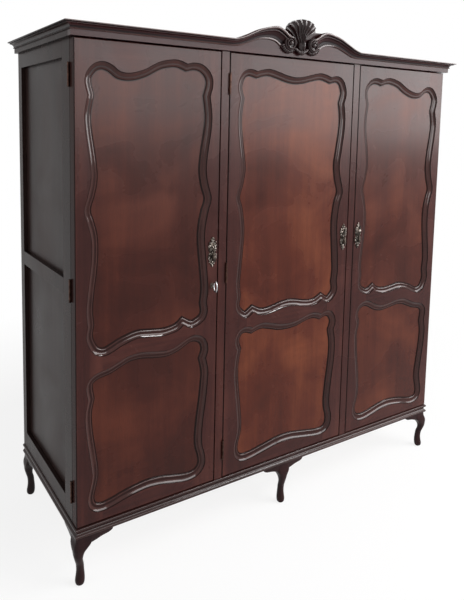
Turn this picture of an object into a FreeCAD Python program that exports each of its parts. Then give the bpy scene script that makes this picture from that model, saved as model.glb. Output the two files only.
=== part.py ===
import FreeCAD, Part
import math
import os
import re
from types import SimpleNamespace
from FreeCAD import Placement, Rotation, Vector

# Three-door wardrobe on cabriole legs, with a swan-neck cornice and a carved shell.
# Origin: on the floor, in the middle of the overall box. The doors face -Y and +Z is up.
doc = FreeCAD.newDocument("Wardrobe")
sheet = doc.addObject("Spreadsheet::Sheet", "Sizes")

sizes = {
    # whole case
    "caseWidth": 1652,
    "caseDepth": 598,
    "doorHeight": 1500,
    "doorThick": 34,
    "sideDoorShare": 506 / 1652,
    "mullionWidth": 31,
    "hingeGap": 2.3,
    "doorGap": 2,
    "doorTopGap": 3,
    "doorArris": 3,
    # base
    "legHeight": 163,
    "baseHeight": 35,
    "baseInset": 6,
    "baseRailWidth": 60,
    "baseBeadProjection": 5,
    "lowerBeadRadius": 6.5,
    "upperBeadRadius": 5.5,
    "baseHollowDepth": 4,
    "kneeSize": 56,
    "rearLegInset": 28,
    "earThick": 20,
    "earLength": 66,
    "earDrop": 27,
    # sides
    "sideThick": 24,
    "sidePanelRecess": 15,
    "sidePanelThick": 8,
    "sideFrontStile": 68,
    "sideRearStile": 41,
    "sideTopRail": 92,
    "sideMiddleRail": 50,
    "sideMiddleShare": 727 / 1500,
    "sideBottomRail": 62,
    "rebateLap": 10,
    "panelPlay": 0.5,
    # inside
    "partitionThick": 20,
    "floorThick": 18,
    "topThick": 16,
    "backThick": 6,
    "shelfThick": 16,
    "shelfSetback": 30,
    "hatShelfDrop": 290,
    "shelfPitch": 300,
    "battenWidth": 18,
    "battenHeight": 22,
    "railRadius": 12.5,
    "railDrop": 60,
    "cleatThick": 16,
    "cleatWidth": 56,
    "cleatHeight": 44,
    "cleatPlay": 0.3,
    # cornice and crest
    "corniceHeight": 39,
    "friezeProjection": 13,
    "friezeHeight": 17,
    "corniceProjection": 37,
    "crestBoardThick": 25,
    "crestBoardDrop": 1.5,
    "neckHalfSpan": 286,
    "neckRise": 57,
    "voluteSpacing": 106,
    "voluteHeight": 43,
    "voluteRadius": 24,
    "voluteDepth": 26,
    "voluteEyeRadius": 10,
    "voluteEyeRise": 5,
    "voluteGroove": 6,
    "shellFoot": 45,
    "shellRadius": 88,
    "ribOverlap": 0.6,
    "shellWaist": 17,
    "shellBossDepth": 30,
    "leafWidth": 44,
    "leafDrop": 36,
    "leafDepth": 14,
    "crestProjection": 46,
    # door panels and their moulding
    "sideOpeningInset": 29,
    "middleOpeningInset": 33.5,
    "upperOpeningFoot": 538,
    "upperOpeningHead": 40,
    "middleUpperFoot": 571,
    "middleUpperHead": 44,
    "lowerOpeningFoot": 28,
    "lowerOpeningHeight": 520,
    "middleLowerFoot": 30,
    "middleLowerHeight": 513,
    "mouldingWidth": 26,
    "panelRecess": 12,
    "doorPanelThick": 10,
    "doorPanelLap": 9,
    "sideStileWidth": 87,
    "middleStileWidth": 93,
    # butt hinges
    "hingeLength": 72,
    "hingeEnd": 104,
    "barrelRadius": 3.6,
    "barrelStandoff": 0.3,
    "barrelPlay": 0.2,
    "pinRadius": 1.9,
    "pinPlay": 0.05,
    "pinReach": 8,
    "plateThick": 1,
    "plateWidth": 22,
    # lock and key
    "keyDrop": 117,
    "keyInset": 22,
    "lockWidth": 40,
    "lockHeight": 64,
    "lockDepth": 12,
    "lockEdge": 0.5,
    "lockWall": 2,
    "lockBoreHalf": 10.2,
    "boltHeight": 14,
    "boltDepth": 5,
    "boltLength": 32,
    "boltRise": 17,
    "boltPlay": 0.2,
    "keyStemRadius": 2.4,
    "keyPlay": 0.3,
    "keyBowOuter": 13,
    "keyBowInner": 8,
    "keyBowStretch": 1.45,
    "keyBowThick": 3,
    "keyReach": 14,
    "bitReach": 9.4,
    "bitWidth": 6,
    "bitThick": 2,
    "escutcheonRadius": 8,
    "escutcheonThick": 1.2,
    # handles
    "handleHeight": 829,
    "handleInset": 23,
    "handleLength": 105,
    "handleWidth": 35,
    "handlePlateThick": 2.4,
    "handlePivotRise": 18,
    "handlePivotReach": 10,
    "handlePivotRadius": 1.3,
    "handlePivotPlay": 0.06,
    "cheekThick": 2.2,
    "cheekRadius": 3.6,
    "cheekGap": 5,
    "cheekPlay": 0.4,
    "dropEyeRadius": 3.4,
    "dropLength": 48,
    "dropRadius": 6.5,
    # one overrun for every cut, and how flat the facets of a curved moulding may lie
    "overrun": 1,
    "facetDepth": 1.4,
}

# places worked out from the sizes above, as formulas of the same sheet
places = {
    "faceY": "(crestProjection - caseDepth) / 2",
    "carcassY": "faceY + doorThick + hingeGap",
    "backY": "faceY + caseDepth",
    "backBoardY": "backY - backThick",
    "baseTop": "legHeight + baseHeight",
    "doorFoot": "baseTop + doorGap",
    "doorTop": "doorFoot + doorHeight",
    "corniceFoot": "doorTop + doorTopGap",
    "corniceTop": "corniceFoot + corniceHeight",
    "sideX": "caseWidth / 2",
    "sideDoorWidth": "caseWidth * sideDoorShare",
    "sideMiddleHeight": "doorHeight * sideMiddleShare",
    "keyHeight": "handleHeight - keyDrop",
    "innerX": "sideX - sideThick",
    "mullionX": "sideX - sideDoorWidth - mullionWidth / 2",
    "floorTop": "baseTop + floorThick",
    "topFoot": "corniceTop - topThick",
    "crestFrontY": "faceY - friezeProjection",
    "crestBackY": "crestFrontY + crestBoardThick",
    "shellDepth": "crestProjection - friezeProjection",
    "hatShelfTop": "topFoot - hatShelfDrop",
    "sideDoorLeaf": "sideDoorWidth - doorGap",
    "middleDoorLeaf": "caseWidth - 2 * (sideDoorWidth + mullionWidth) - hingeGap - doorGap",
    "middleHalf": "sideX - sideDoorWidth - mullionWidth",
    "middleDoorX": "hingeGap - middleHalf",
    "barrelOffset": "barrelRadius + barrelStandoff",
}

row = 0
for table in (sizes, places):
    for name, value in table.items():
        row += 1
        text = str(value) if table is sizes else "=" + value
        sheet.set("A%d" % row, name)
        sheet.set("B%d" % row, text)
        sheet.setAlias("B%d" % row, name)
doc.recompute()
s = SimpleNamespace(**{name: float(sheet.get(name)) for name in (*sizes, *places)})

nodes = []


# helpers that bind an object's sizes and place to the sheet
def bind(part, prop, formula):
    part.setExpression(prop, re.sub(r"[A-Za-z]\w*", r"Sizes.\g<0>", formula))


def box(name, corner, extent):
    part = doc.addObject("Part::Box", name)
    for axis, place in zip("xyz", corner):
        bind(part, "Placement.Base." + axis, place)
    for prop, size in zip(("Length", "Width", "Height"), extent):
        bind(part, prop, size)
    return part


def cylinder(name, radius, length, base, axis=Vector(0, 0, 1)):
    part = doc.addObject("Part::Cylinder", name)
    part.Placement = Placement(Vector(), Rotation(Vector(0, 0, 1), axis))
    bind(part, "Radius", radius)
    bind(part, "Height", length)
    for letter, place in zip("xyz", base):
        bind(part, "Placement.Base." + letter, place)
    return part


def cut(name, base, *tools):
    part = doc.addObject("Part::Cut", name)
    part.Base = base
    part.Tool = tools[0] if len(tools) == 1 else group(name + "Tools", tools)
    return part


def fused(name, parts):
    part = doc.addObject("Part::MultiFuse", name)
    part.Shapes = list(parts)
    return part


def group(name, links):
    part = doc.addObject("Part::Compound", name)
    part.Links = list(links)
    return part


def mirrored(name, source):
    part = doc.addObject("Part::Mirroring", name)
    part.Source = source
    part.Normal = Vector(1, 0, 0)
    return part


def feature(name, shape):
    part = doc.addObject("Part::Feature", name)
    part.Shape = shape
    return part


def node(label, part):
    part.Label = label
    nodes.append(part)
    return part


# helpers for outlines
def curve(points):
    spline = Part.BSplineCurve()
    spline.interpolate(points)
    return spline


def polygon(points):
    return Part.Wire(Part.makePolygon([*points, points[0]]))


# A solid with flat facets through a row of sections, each a closed list of as many points
def facetLoft(sections):
    faces = [Part.Face(polygon(sections[0])), Part.Face(polygon(sections[-1]))]
    for near, far in zip(sections, sections[1:]):
        for index, corner in enumerate(near):
            faces.append(Part.Face(polygon([near[index - 1], corner, far[index]])))
            faces.append(Part.Face(polygon([near[index - 1], far[index], far[index - 1]])))
    solid = Part.Solid(Part.Shell(faces))
    if solid.Volume < 0:
        solid.reverse()
    return solid


def ring(centre, radius, sides, first, second):
    angles = [2 * math.pi * (index + 0.5) / sides for index in range(sides)]
    return [centre + first * (radius * math.cos(angle)) + second * (radius * math.sin(angle))
            for angle in angles]


# Case: floor, top, backs, partitions and mullions
node("floor_board", box("FloorBoard", ("-innerX", "carcassY", "baseTop"),
                        ("2 * innerX", "backBoardY - carcassY", "floorThick")))
node("top_board", box("TopBoard", ("-innerX", "faceY + doorThick", "topFoot"),
                      ("2 * innerX", "backBoardY - faceY - doorThick", "topThick")))
node("top_rail", box("TopRail", ("-sideX", "crestBackY", "corniceFoot"),
                     ("2 * sideX", "faceY + doorThick - crestBackY", "corniceHeight")))
backs = []
for name, start, width in (("Left", "-innerX", "innerX - mullionX"), ("Middle", "-mullionX", "2 * mullionX"),
                           ("Right", "mullionX", "innerX - mullionX")):
    backs.append(box("Back" + name, (start, "backBoardY", "baseTop"),
                     (width, "backThick", "corniceTop - baseTop")))
node("back_panels", group("Backs", backs))

for side, sign in (("left", "-"), ("right", "")):
    middle = sign + "mullionX"
    start = middle + " - partitionThick / 2"
    node(side + "_partition", box(side.title() + "Partition", (start, "faceY + doorThick", "floorTop"),
                                  ("partitionThick", "backBoardY - faceY - doorThick", "topFoot - floorTop")))
    mullionStart = middle + " - mullionWidth / 2"
    node(side + "_mullion", box(side.title() + "Mullion", (mullionStart, "faceY", "baseTop"),
                                ("mullionWidth", "doorThick", "corniceFoot - baseTop")))

# Framed sides: two stiles, three rails and two panels sunk in rebates cut from the inside
railY = "carcassY + sideFrontStile"
railWidth = "caseDepth - doorThick - hingeGap - sideFrontStile - sideRearStile"
members = {
    "FrontStile": ("carcassY", "sideFrontStile", "baseTop", "corniceTop - baseTop"),
    "RearStile": ("backY - sideRearStile", "sideRearStile", "baseTop", "corniceTop - baseTop"),
    "BottomRail": (railY, railWidth, "baseTop", "sideBottomRail"),
    "MiddleRail": (railY, railWidth, "baseTop + sideMiddleHeight", "sideMiddleRail"),
    "TopRail": (railY, railWidth, "corniceTop - sideTopRail", "sideTopRail"),
}
bays = {
    "Lower": ("baseTop + sideBottomRail", "sideMiddleHeight - sideBottomRail"),
    "Upper": ("baseTop + sideMiddleHeight + sideMiddleRail",
              "corniceTop - sideTopRail - baseTop - sideMiddleHeight - sideMiddleRail"),
}
rebates = []
panels = []
for name, (foot, height) in bays.items():
    rebates.append(box("SideRebate" + name,
                       ("-sideX + sidePanelRecess", railY + " - rebateLap", foot + " - rebateLap"),
                       ("sideThick", railWidth + " + 2 * rebateLap", height + " + 2 * rebateLap")))
    panels.append(box("SidePanel" + name,
                      ("-sideX + sidePanelRecess", railY + " - rebateLap + panelPlay",
                       foot + " - rebateLap + panelPlay"),
                      ("sidePanelThick", railWidth + " + 2 * (rebateLap - panelPlay)",
                       height + " + 2 * (rebateLap - panelPlay)")))
sideRebates = group("SideRebates", rebates)
frame = []
for name, (start, width, foot, height) in members.items():
    board = box("Side" + name, ("-sideX", start, foot), ("sideThick", width, height))
    frame.append(cut("Rebated" + name, board, sideRebates))
leftFrame = node("left_side_frame", group("LeftSideFrame", frame))
leftPanels = node("left_side_panels", group("LeftSidePanels", panels))
node("right_side_frame", mirrored("RightSideFrame", leftFrame))
node("right_side_panels", mirrored("RightSidePanels", leftPanels))

# Shelves on battens, and hanging rails in their sockets
leftBay = ("-innerX", "innerX - mullionX - partitionThick / 2")
middleBay = ("-mullionX + partitionThick / 2", "2 * mullionX - partitionThick")
rightBay = ("mullionX + partitionThick / 2", "innerX - mullionX - partitionThick / 2")
shelfY = "carcassY + shelfSetback"
shelfDepth = "backBoardY - carcassY - shelfSetback"
battens = []


def shelf(name, bay, top):
    for end, place in (("A", bay[0]), ("B", bay[0] + " + " + bay[1] + " - battenWidth")):
        battens.append(box(name + "Batten" + end, (place, shelfY, top + " - shelfThick - battenHeight"),
                           ("battenWidth", shelfDepth, "battenHeight")))
    return box(name, (bay[0], shelfY, top + " - shelfThick"), (bay[1], shelfDepth, "shelfThick"))


node("hat_shelves", group("HatShelves", [shelf("LeftHatShelf", leftBay, "hatShelfTop"),
                                         shelf("MiddleHatShelf", middleBay, "hatShelfTop")]))
shelfCount = 4
node("fixed_shelves", group("FixedShelves", [
    shelf("Shelf%d" % index, rightBay, "hatShelfTop - %d * shelfPitch" % index)
    for index in range(shelfCount)]))
node("shelf_battens", group("Battens", battens))

rails = []
cleats = []
railY = "(carcassY + backBoardY) / 2"
railZ = "hatShelfTop - shelfThick - railDrop"
for name, (start, width) in (("Left", leftBay), ("Middle", middleBay)):
    rails.append(cylinder(name + "Rail", "railRadius", width + " - 2 * cleatPlay",
                          (start + " + cleatPlay", railY, railZ), Vector(1, 0, 0)))
    seat = cylinder(name + "RailSeat", "railRadius + cleatPlay", width + " + 2 * overrun",
                    (start + " - overrun", railY, railZ), Vector(1, 0, 0))
    slot = box(name + "RailSlot", (start + " - overrun", railY + " - railRadius - cleatPlay", railZ),
               (width + " + 2 * overrun", "2 * (railRadius + cleatPlay)", "cleatHeight"))
    seatCut = fused(name + "SeatCut", [seat, slot])
    for end, place in (("A", start), ("B", start + " + " + width + " - cleatThick")):
        blank = box(name + "Cleat" + end,
                    (place, railY + " - cleatWidth / 2", railZ + " - cleatHeight / 2"),
                    ("cleatThick", "cleatWidth", "cleatHeight"))
        cleats.append(cut(name + "CleatCut" + end, blank, seatCut))
node("hanging_rails", group("Rails", rails))
node("rail_cleats", group("Cleats", cleats))

# Base: a frame of flat rails with the mitred moulding round three sides
baseParts = [
    box("BaseFront", ("-sideX + baseInset", "faceY + baseInset", "legHeight"),
        ("2 * (sideX - baseInset)", "baseRailWidth", "baseHeight")),
    box("BaseRear", ("-sideX + baseInset", "backY - baseRailWidth", "legHeight"),
        ("2 * (sideX - baseInset)", "baseRailWidth", "baseHeight")),
]
for name, start in (("Left", "-sideX + baseInset"), ("Centre", "-baseRailWidth / 2"),
                    ("Right", "sideX - baseInset - baseRailWidth")):
    baseParts.append(box("Base" + name, (start, "faceY + baseInset + baseRailWidth", "legHeight"),
                         ("baseRailWidth", "caseDepth - baseInset - 2 * baseRailWidth", "baseHeight")))
node("base_frame", group("BaseFrame", baseParts))


# A straight moulding: the section's (outward, up) points run between two corners, and each mitred
# end follows the diagonal
def mitredRun(section, start, end, outward, foot, mitres=(1, 1)):
    along = (end - start).normalize()
    wires = []
    for place, turn in ((start, -mitres[0]), (end, mitres[1])):
        wires.append(polygon([place + outward * out + along * (turn * out) + Vector(0, 0, foot + up)
                              for out, up in section]))
    return Part.makeLoft(wires, True, True)


def arcPoints(out, up, radius, first, last, steps):
    angles = [math.radians(first + (last - first) * step / steps) for step in range(steps + 1)]
    return [(out + radius * math.cos(angle), up + radius * math.sin(angle)) for angle in angles]


beadSteps = 6
beadTurn = 60
lowerOut = s.baseBeadProjection - s.lowerBeadRadius
upperOut = s.baseBeadProjection - s.upperBeadRadius
lowerBead = arcPoints(lowerOut, s.lowerBeadRadius, s.lowerBeadRadius, -90, beadTurn, beadSteps)
upperBead = arcPoints(upperOut, s.baseHeight - s.upperBeadRadius, s.upperBeadRadius, -beadTurn, 90, beadSteps)
hollow = []
for step in range(1, beadSteps):
    share = step / beadSteps
    out = lowerBead[-1][0] + share * (upperBead[0][0] - lowerBead[-1][0])
    up = lowerBead[-1][1] + share * (upperBead[0][1] - lowerBead[-1][1])
    hollow.append((out - s.baseHollowDepth * math.sin(math.pi * share), up))
baseSection = [(-s.baseInset, 0), *lowerBead, *hollow, *upperBead, (-s.baseInset, s.baseHeight)]
toFront = Vector(0, -1, 0)
toBack = Vector(0, 1, 0)
toLeft = Vector(-1, 0, 0)
toRight = Vector(1, 0, 0)
upward = Vector(0, 0, 1)
frontLeft = Vector(-s.sideX, s.faceY, 0)
frontRight = Vector(s.sideX, s.faceY, 0)
backLeft = Vector(-s.sideX, s.backY, 0)
baseFrontRun = feature("BaseMouldingFront",
                       mitredRun(baseSection, frontLeft, frontRight, toFront, s.legHeight))
baseLeftRun = feature("BaseMouldingLeft",
                      mitredRun(baseSection, backLeft, frontLeft, toLeft, s.legHeight, (0, 1)))
node("base_moulding", group("BaseMoulding", [baseFrontRun, baseLeftRun,
                                             mirrored("BaseMouldingRight", baseLeftRun)]))

# Cabriole legs: rounded squares that swing out at the knee and in at the ankle.
# Each row: height, size, how far the centre lies in from the case corner, corner radius of the square.
legShares = [
    (1, 1, 0.5, 0.12),
    (0.914, 1.02, 0.482, 0.15),
    (0.834, 0.98, 0.375, 0.2),
    (0.773, 0.82, 0.26, 0.28),
    (0.712, 0.66, 0.188, 0.36),
    (0.638, 0.554, 0.152, 0.42),
    (0.54, 0.464, 0.18, 0.46),
    (0.36, 0.44, 0.294, 0.48),
    (0.196, 0.5, 0.304, 0.48),
    (0.098, 0.545, 0.277, 0.48),
    (0.031, 0.482, 0.268, 0.48),
    (0, 0.32, 0.277, 0.48),
]


def roundedSquare(x, y, z, size, radius):
    flat = size / 2 - radius
    diagonal = flat + radius * math.sqrt(0.5)
    corner = [(size / 2, flat), (diagonal, diagonal), (flat, size / 2)]
    points = []
    for quarter in range(4):
        turn = Rotation(Vector(0, 0, 1), 90 * quarter)
        points += [Vector(x, y, z) + turn.multVec(Vector(across, over, 0)) for across, over in corner]
    return points


def leg(x, y, inX, inY):
    sections = []
    for heightShare, sizeShare, inShare, cornerShare in reversed(legShares):
        size = s.kneeSize * sizeShare
        swing = s.kneeSize * inShare
        sections.append(roundedSquare(x + inX * swing, y + inY * swing, s.legHeight * heightShare,
                                      size, size * cornerShare))
    return facetLoft(sections)


cornerLeg = leg(-s.sideX, s.faceY, 1, 1)
centreLeg = leg(0, s.faceY, 0, 1)
rearLeg = leg(-s.sideX, s.backY - s.rearLegInset, 1, 0)
cornerLegPart = feature("CornerLeg", cornerLeg)
rearLegPart = feature("RearLeg", rearLeg)
node("front_legs", group("FrontLegs", [cornerLegPart, feature("CentreLeg", centreLeg),
                                       mirrored("CornerLegRight", cornerLegPart)]))
node("rear_legs", group("RearLegs", [rearLegPart, mirrored("RearLegRight", rearLegPart)]))

# Bracket ears: an ogee from the tip to the leg's flank, fitted round the leg
earShares = [(1, 0.11), (0.96, 0.27), (0.8, 0.45), (0.6, 0.54), (0.4, 0.63), (0.19, 0.79), (-0.14, 1)]
legTop = upward * s.legHeight


def ear(corner, along, inward, solidLeg):
    start = corner + legTop
    points = [start + along * (s.kneeSize + s.earLength * out) - Vector(0, 0, s.earDrop * down)
              for out, down in earShares]
    tip = start + along * (s.kneeSize + s.earLength)
    root = start + along * (s.kneeSize / 2)
    low = root - Vector(0, 0, s.earDrop)
    blank = Part.Face(polygon([root, tip, *points, low])).extrude(inward * s.earThick)
    return blank.cut(solidLeg)


leftEars = group("LeftEars", [
    feature("EarFront", ear(frontLeft, toRight, toBack, cornerLeg)),
    feature("EarSide", ear(frontLeft, toBack, toRight, cornerLeg)),
    feature("EarRear", ear(backLeft, toFront, toRight, rearLeg)),
    feature("EarCentre", ear(Vector(s.kneeSize / 2, s.faceY, 0), toLeft, toBack, centreLeg)),
])
node("leg_ears", group("LegEars", [leftEars, mirrored("RightEars", leftEars)]))

# Cornice: a plain frieze under a moulding, which sweeps up in the middle into two swan necks
mouldShares = [(0, 0), (0.12, 0.04), (0.26, 0.4), (0.52, 0.64), (0.86, 0.74), (1, 0.84), (1, 1), (0, 1)]
mouldReach = s.corniceProjection - s.friezeProjection
mouldRise = s.corniceHeight - s.friezeHeight
corniceSection = [(out * mouldReach, up * mouldRise) for out, up in mouldShares]
mouldFoot = s.corniceFoot + s.friezeHeight
friezeLeft = -s.sideX - s.friezeProjection
friezeCorner = Vector(friezeLeft, s.crestFrontY, 0)
returnRun = feature("CorniceReturnRun",
                    mitredRun(corniceSection, Vector(friezeLeft, s.backY, 0), friezeCorner,
                              toLeft, mouldFoot, (0, 1)))
returnBand = box("CorniceReturnBand", ("-sideX - friezeProjection", "crestBackY", "corniceFoot"),
                 ("friezeProjection", "backY - crestBackY", "corniceHeight"))
leftReturn = group("LeftReturn", [returnRun, returnBand])
node("cornice_returns", group("CorniceReturns", [leftReturn, mirrored("RightReturn", leftReturn)]))

# share of the half span, then the neck's underside and top as shares of its rise over the cornice
neckShares = [
    (1, -mouldRise / s.neckRise, 0),
    (0.892, -0.316, 0.175),
    (0.769, -0.088, 0.456),
    (0.647, 0.123, 0.72),
    (0.514, 0.211, 0.912),
    (0.392, 0.123, 1),
    (0.301, -0.158, 0.842),
    (0.231, -0.316, 0.6),
    (0.185, 0.07, 0.47),
]
neckSteps = 12
neckCurves = [curve([Vector(share[0], 0, share[column]) for share in neckShares]) for column in (1, 2)]
neckSections = []
for step in range(neckSteps + 1):
    low, high = [
        line.value(line.FirstParameter + (line.LastParameter - line.FirstParameter) * step / neckSteps)
        for line in neckCurves]
    spanShare = (low.x + high.x) / 2
    foot = s.corniceTop + s.neckRise * low.z
    rise = s.neckRise * (high.z - low.z)
    neckX = -s.neckHalfSpan * spanShare
    neckSections.append([Vector(neckX, s.crestFrontY - out * mouldReach, foot + up * rise)
                         for out, up in mouldShares])
neck = facetLoft(neckSections)
straight = mitredRun(corniceSection, friezeCorner, Vector(-s.neckHalfSpan, s.crestFrontY, 0), toFront,
                     mouldFoot, (1, 0))
voluteCentre = Vector(-s.voluteSpacing / 2, s.crestFrontY, s.corniceFoot + s.voluteHeight)
grooveInner = (s.voluteEyeRadius + s.voluteRadius - s.voluteGroove) / 2 - s.voluteGroove / 2
voluteSides = 18


def disk(centre, radius, depth):
    return Part.Face(polygon(ring(centre, radius, voluteSides, toRight, upward))).extrude(toFront * depth)


grooveFoot = voluteCentre + toFront * (s.voluteDepth - s.voluteGroove)
groove = disk(grooveFoot, grooveInner + s.voluteGroove, s.voluteDepth).cut(
    disk(grooveFoot, grooveInner, s.voluteDepth))
disc = disk(voluteCentre, s.voluteRadius, s.voluteDepth)
eye = disk(voluteCentre, s.voluteEyeRadius, s.voluteDepth + s.voluteEyeRise)
leftCornice = feature("LeftCornice", straight.fuse([neck, disc]).cut(groove).fuse(eye))
node("cornice_front", group("CorniceFront", [leftCornice, mirrored("RightCornice", leftCornice)]))

# Crest board: the frieze, rising behind the necks
boardShares = [(1, 0), (0.892, 0.175), (0.769, 0.456), (0.647, 0.72), (0.514, 0.912), (0.392, 1),
               (0.22, 0.965), (0, 0.93)]
boardTop = s.corniceTop - s.crestBoardDrop
sweep = [Vector(-s.neckHalfSpan * out, s.crestFrontY, boardTop + s.neckRise * up) for out, up in boardShares]
sweep += [Vector(-point.x, point.y, point.z) for point in reversed(sweep[:-1])]
boardCorners = [Vector(friezeLeft, s.crestFrontY, boardTop),
                Vector(friezeLeft, s.crestFrontY, s.corniceFoot),
                Vector(-friezeLeft, s.crestFrontY, s.corniceFoot),
                Vector(-friezeLeft, s.crestFrontY, boardTop)]
boardLine = curve(sweep).discretize(QuasiDeflection=s.facetDepth / 2)
crestBoard = Part.Face(polygon([*boardLine, *reversed(boardCorners)])).extrude(toBack * s.crestBoardThick)
node("crest_board", feature("CrestBoard", crestBoard))

# Shell: ribs fanned out from a boss, on a plate, with a leaf hanging below
fanCentre = Vector(0, s.crestFrontY, s.corniceFoot + s.shellFoot)
ribCount = 9
fanTurn = 48
# one rib across: side share of its half width, front share of the fan's depth
ribSectionShares = [(-1, 0), (-0.84, 0.78), (0, 1), (0.84, 0.78), (1, 0)]
# along a rib: share of the radius, share of its width, share of its depth
ribShares = [(0.12, 0.12, 0.12), (0.9, 0.96, 1), (1, 0.5, 0.7)]
leafShares = [(0.34, 0), (0.8, 0.08), (1, 0.26), (0.68, 0.44), (0.72, 0.66), (0.4, 0.76), (0.2, 0.9), (0, 1)]


def fanWay(angle):
    return Vector(math.sin(math.radians(angle)), 0, math.cos(math.radians(angle)))


ribTurn = 2 * fanTurn / (ribCount - 1)
ribHalfWidth = s.shellRadius * math.tan(math.radians(ribTurn / 2)) + s.ribOverlap
ribs = []
for index in range(ribCount):
    way = fanWay(index * ribTurn - fanTurn)
    side = Vector(way.z, 0, -way.x)
    ribs.append(facetLoft([
        [fanCentre + way * (s.shellRadius * far) + side * (ribHalfWidth * width * across)
         + toFront * (s.shellDepth * depth * front) for across, front in ribSectionShares]
        for far, width, depth in ribShares]))
boss = Part.makeCylinder(s.shellWaist, s.shellBossDepth, fanCentre, toFront)
leafRight = [Vector(s.leafWidth / 2 * out, 0, -s.leafDrop * down) for out, down in leafShares]
leafLeft = [Vector(-point.x, 0, point.z) for point in reversed(leafRight)]
leaf = Part.Face(polygon([fanCentre + point for point in leafRight[:-1] + leafLeft])).extrude(
    toFront * s.leafDepth)
node("shell_carving", feature("ShellCarving", boss.fuse([leaf, *ribs])))

# Doors. Each panel's opening is an outline of smooth runs that meet in cusps, and the moulding
# steps down along it. The outline shares run clockwise as seen from the front.
sideUpperShares = [
    [(0.778, 0.99), (0.901, 0.992), (0.991, 0.948), (0.996, 0.918), (0.975, 0.881)],
    [(0.975, 0.881), (0.987, 0.756), (0.969, 0.566), (1, 0.514), (0.975, 0.469), (0.975, 0.235),
     (0.984, 0.176), (0.973, 0.127)],
    [(0.973, 0.127), (0.982, 0.094), (0.96, 0.065), (0.834, 0.04), (0.771, 0.056)],
    [(0.771, 0.056), (0.722, 0.039), (0.397, 0.039), (0.206, 0.008), (0.143, 0), (0.076, 0.01),
     (0.011, 0.073), (0.022, 0.111)],
    [(0.022, 0.111), (0.013, 0.165), (0.025, 0.452), (0, 0.499), (0.029, 0.55), (0.004, 0.805),
     (0.027, 0.867)],
    [(0.027, 0.867), (0.007, 0.908), (0.072, 0.967), (0.202, 0.967), (0.262, 0.948), (0.543, 0.987),
     (0.711, 1), (0.778, 0.99)],
]
sideLowerShares = [
    [(0.022, 0.726), (0.045, 0.864), (0.179, 0.902), (0.33, 0.952), (0.722, 0.954), (0.8, 0.988),
     (0.939, 0.981), (0.993, 0.879), (0.973, 0.827)],
    [(0.973, 0.827), (0.996, 0.745), (0.993, 0.658), (0.948, 0.303), (0.953, 0.226), (0.984, 0.111),
     (0.919, 0.019), (0.771, 0.012), (0.498, 0.052), (0.217, 0.012), (0.076, 0.012), (0.031, 0.048),
     (0.049, 0.236), (0.045, 0.303), (0.009, 0.524), (0.022, 0.726)],
]
# right halves of the middle door's outlines, from the top round to the bottom
middleUpperShares = [
    [(0, 0.976), (0.138, 0.98), (0.454, 1), (0.679, 0.988)],
    [(0.679, 0.988), (0.769, 0.994), (0.868, 0.99), (0.998, 0.912), (0.963, 0.88)],
    [(0.963, 0.88), (0.986, 0.756), (0.947, 0.553), (1, 0.496), (0.955, 0.449), (0.966, 0.146),
     (0.947, 0.092)],
    [(0.947, 0.092), (0.931, 0.031), (0.84, 0.007), (0.651, 0.019)],
    [(0.651, 0.019), (0.426, 0), (0.138, 0.014), (0, 0.018)],
]
middleLowerShares = [
    [(0, 0.959), (0.158, 0.965), (0.454, 1), (0.651, 0.981)],
    [(0.651, 0.981), (0.73, 0.994), (0.899, 0.969), (0.955, 0.877), (0.923, 0.834)],
    [(0.923, 0.834), (0.963, 0.634), (0.907, 0.39), (0.899, 0.214), (0.919, 0.055), (0.844, 0.016),
     (0.611, 0.006), (0.296, 0.033), (0, 0.049)],
]
# the moulding across: share of its width, share of the panel's recess
recessShares = [(0, 0), (0.3, 0.58), (0.77, 0.52), (1, 1)]


def bothHalves(runs):
    left = [[(-out, up) for out, up in reversed(run)] for run in reversed(runs)]
    return [left[-1] + runs[0][1:], *runs[1:-1], runs[-1] + left[0][1:], *left[1:-1]]


def placedRuns(runs, centre, half, foot, height, whole):
    spots = []
    for run in runs:
        spots.append([Vector(centre + half * (2 * out - 1 if whole else out), s.faceY, foot + height * up)
                      for out, up in run])
    return spots


def insetRuns(runs, distance):
    normals = []
    for run in runs:
        spline = curve(run)
        ways = [spline.tangent(spline.parameter(point))[0] for point in run]
        normals.append([Vector(way.z, 0, -way.x) for way in ways])
    moved = []
    for index, run in enumerate(runs):
        others = [normals[index - 1][-1], *normals[index][1:-1], normals[(index + 1) % len(runs)][0]]
        moved.append([point + (normal + other) * (distance / (1 + normal.dot(other)))
                      for point, normal, other in zip(run, normals[index], others)])
    return moved


def openingCutter(name, runs):
    levels = [(0, -s.overrun)]
    levels += [(out * s.mouldingWidth, down * s.panelRecess) for out, down in recessShares]
    levels.append((s.mouldingWidth, s.panelRecess + s.overrun))
    # each run is cut where its outer curve needs it, at the same shares for every level
    shares = []
    for run in runs:
        spline = curve(run)
        span = spline.LastParameter - spline.FirstParameter
        spots = spline.discretize(QuasiDeflection=s.facetDepth)
        shares.append([(spline.parameter(spot) - spline.FirstParameter) / span for spot in spots[:-1]])
    sections = []
    for out, down in levels:
        points = []
        for run, row in zip(insetRuns(runs, out), shares):
            spline = curve(run)
            span = spline.LastParameter - spline.FirstParameter
            points += [spline.value(spline.FirstParameter + span * share) + Vector(0, down, 0)
                       for share in row]
        sections.append(points)
    return feature(name, facetLoft(sections))


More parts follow.
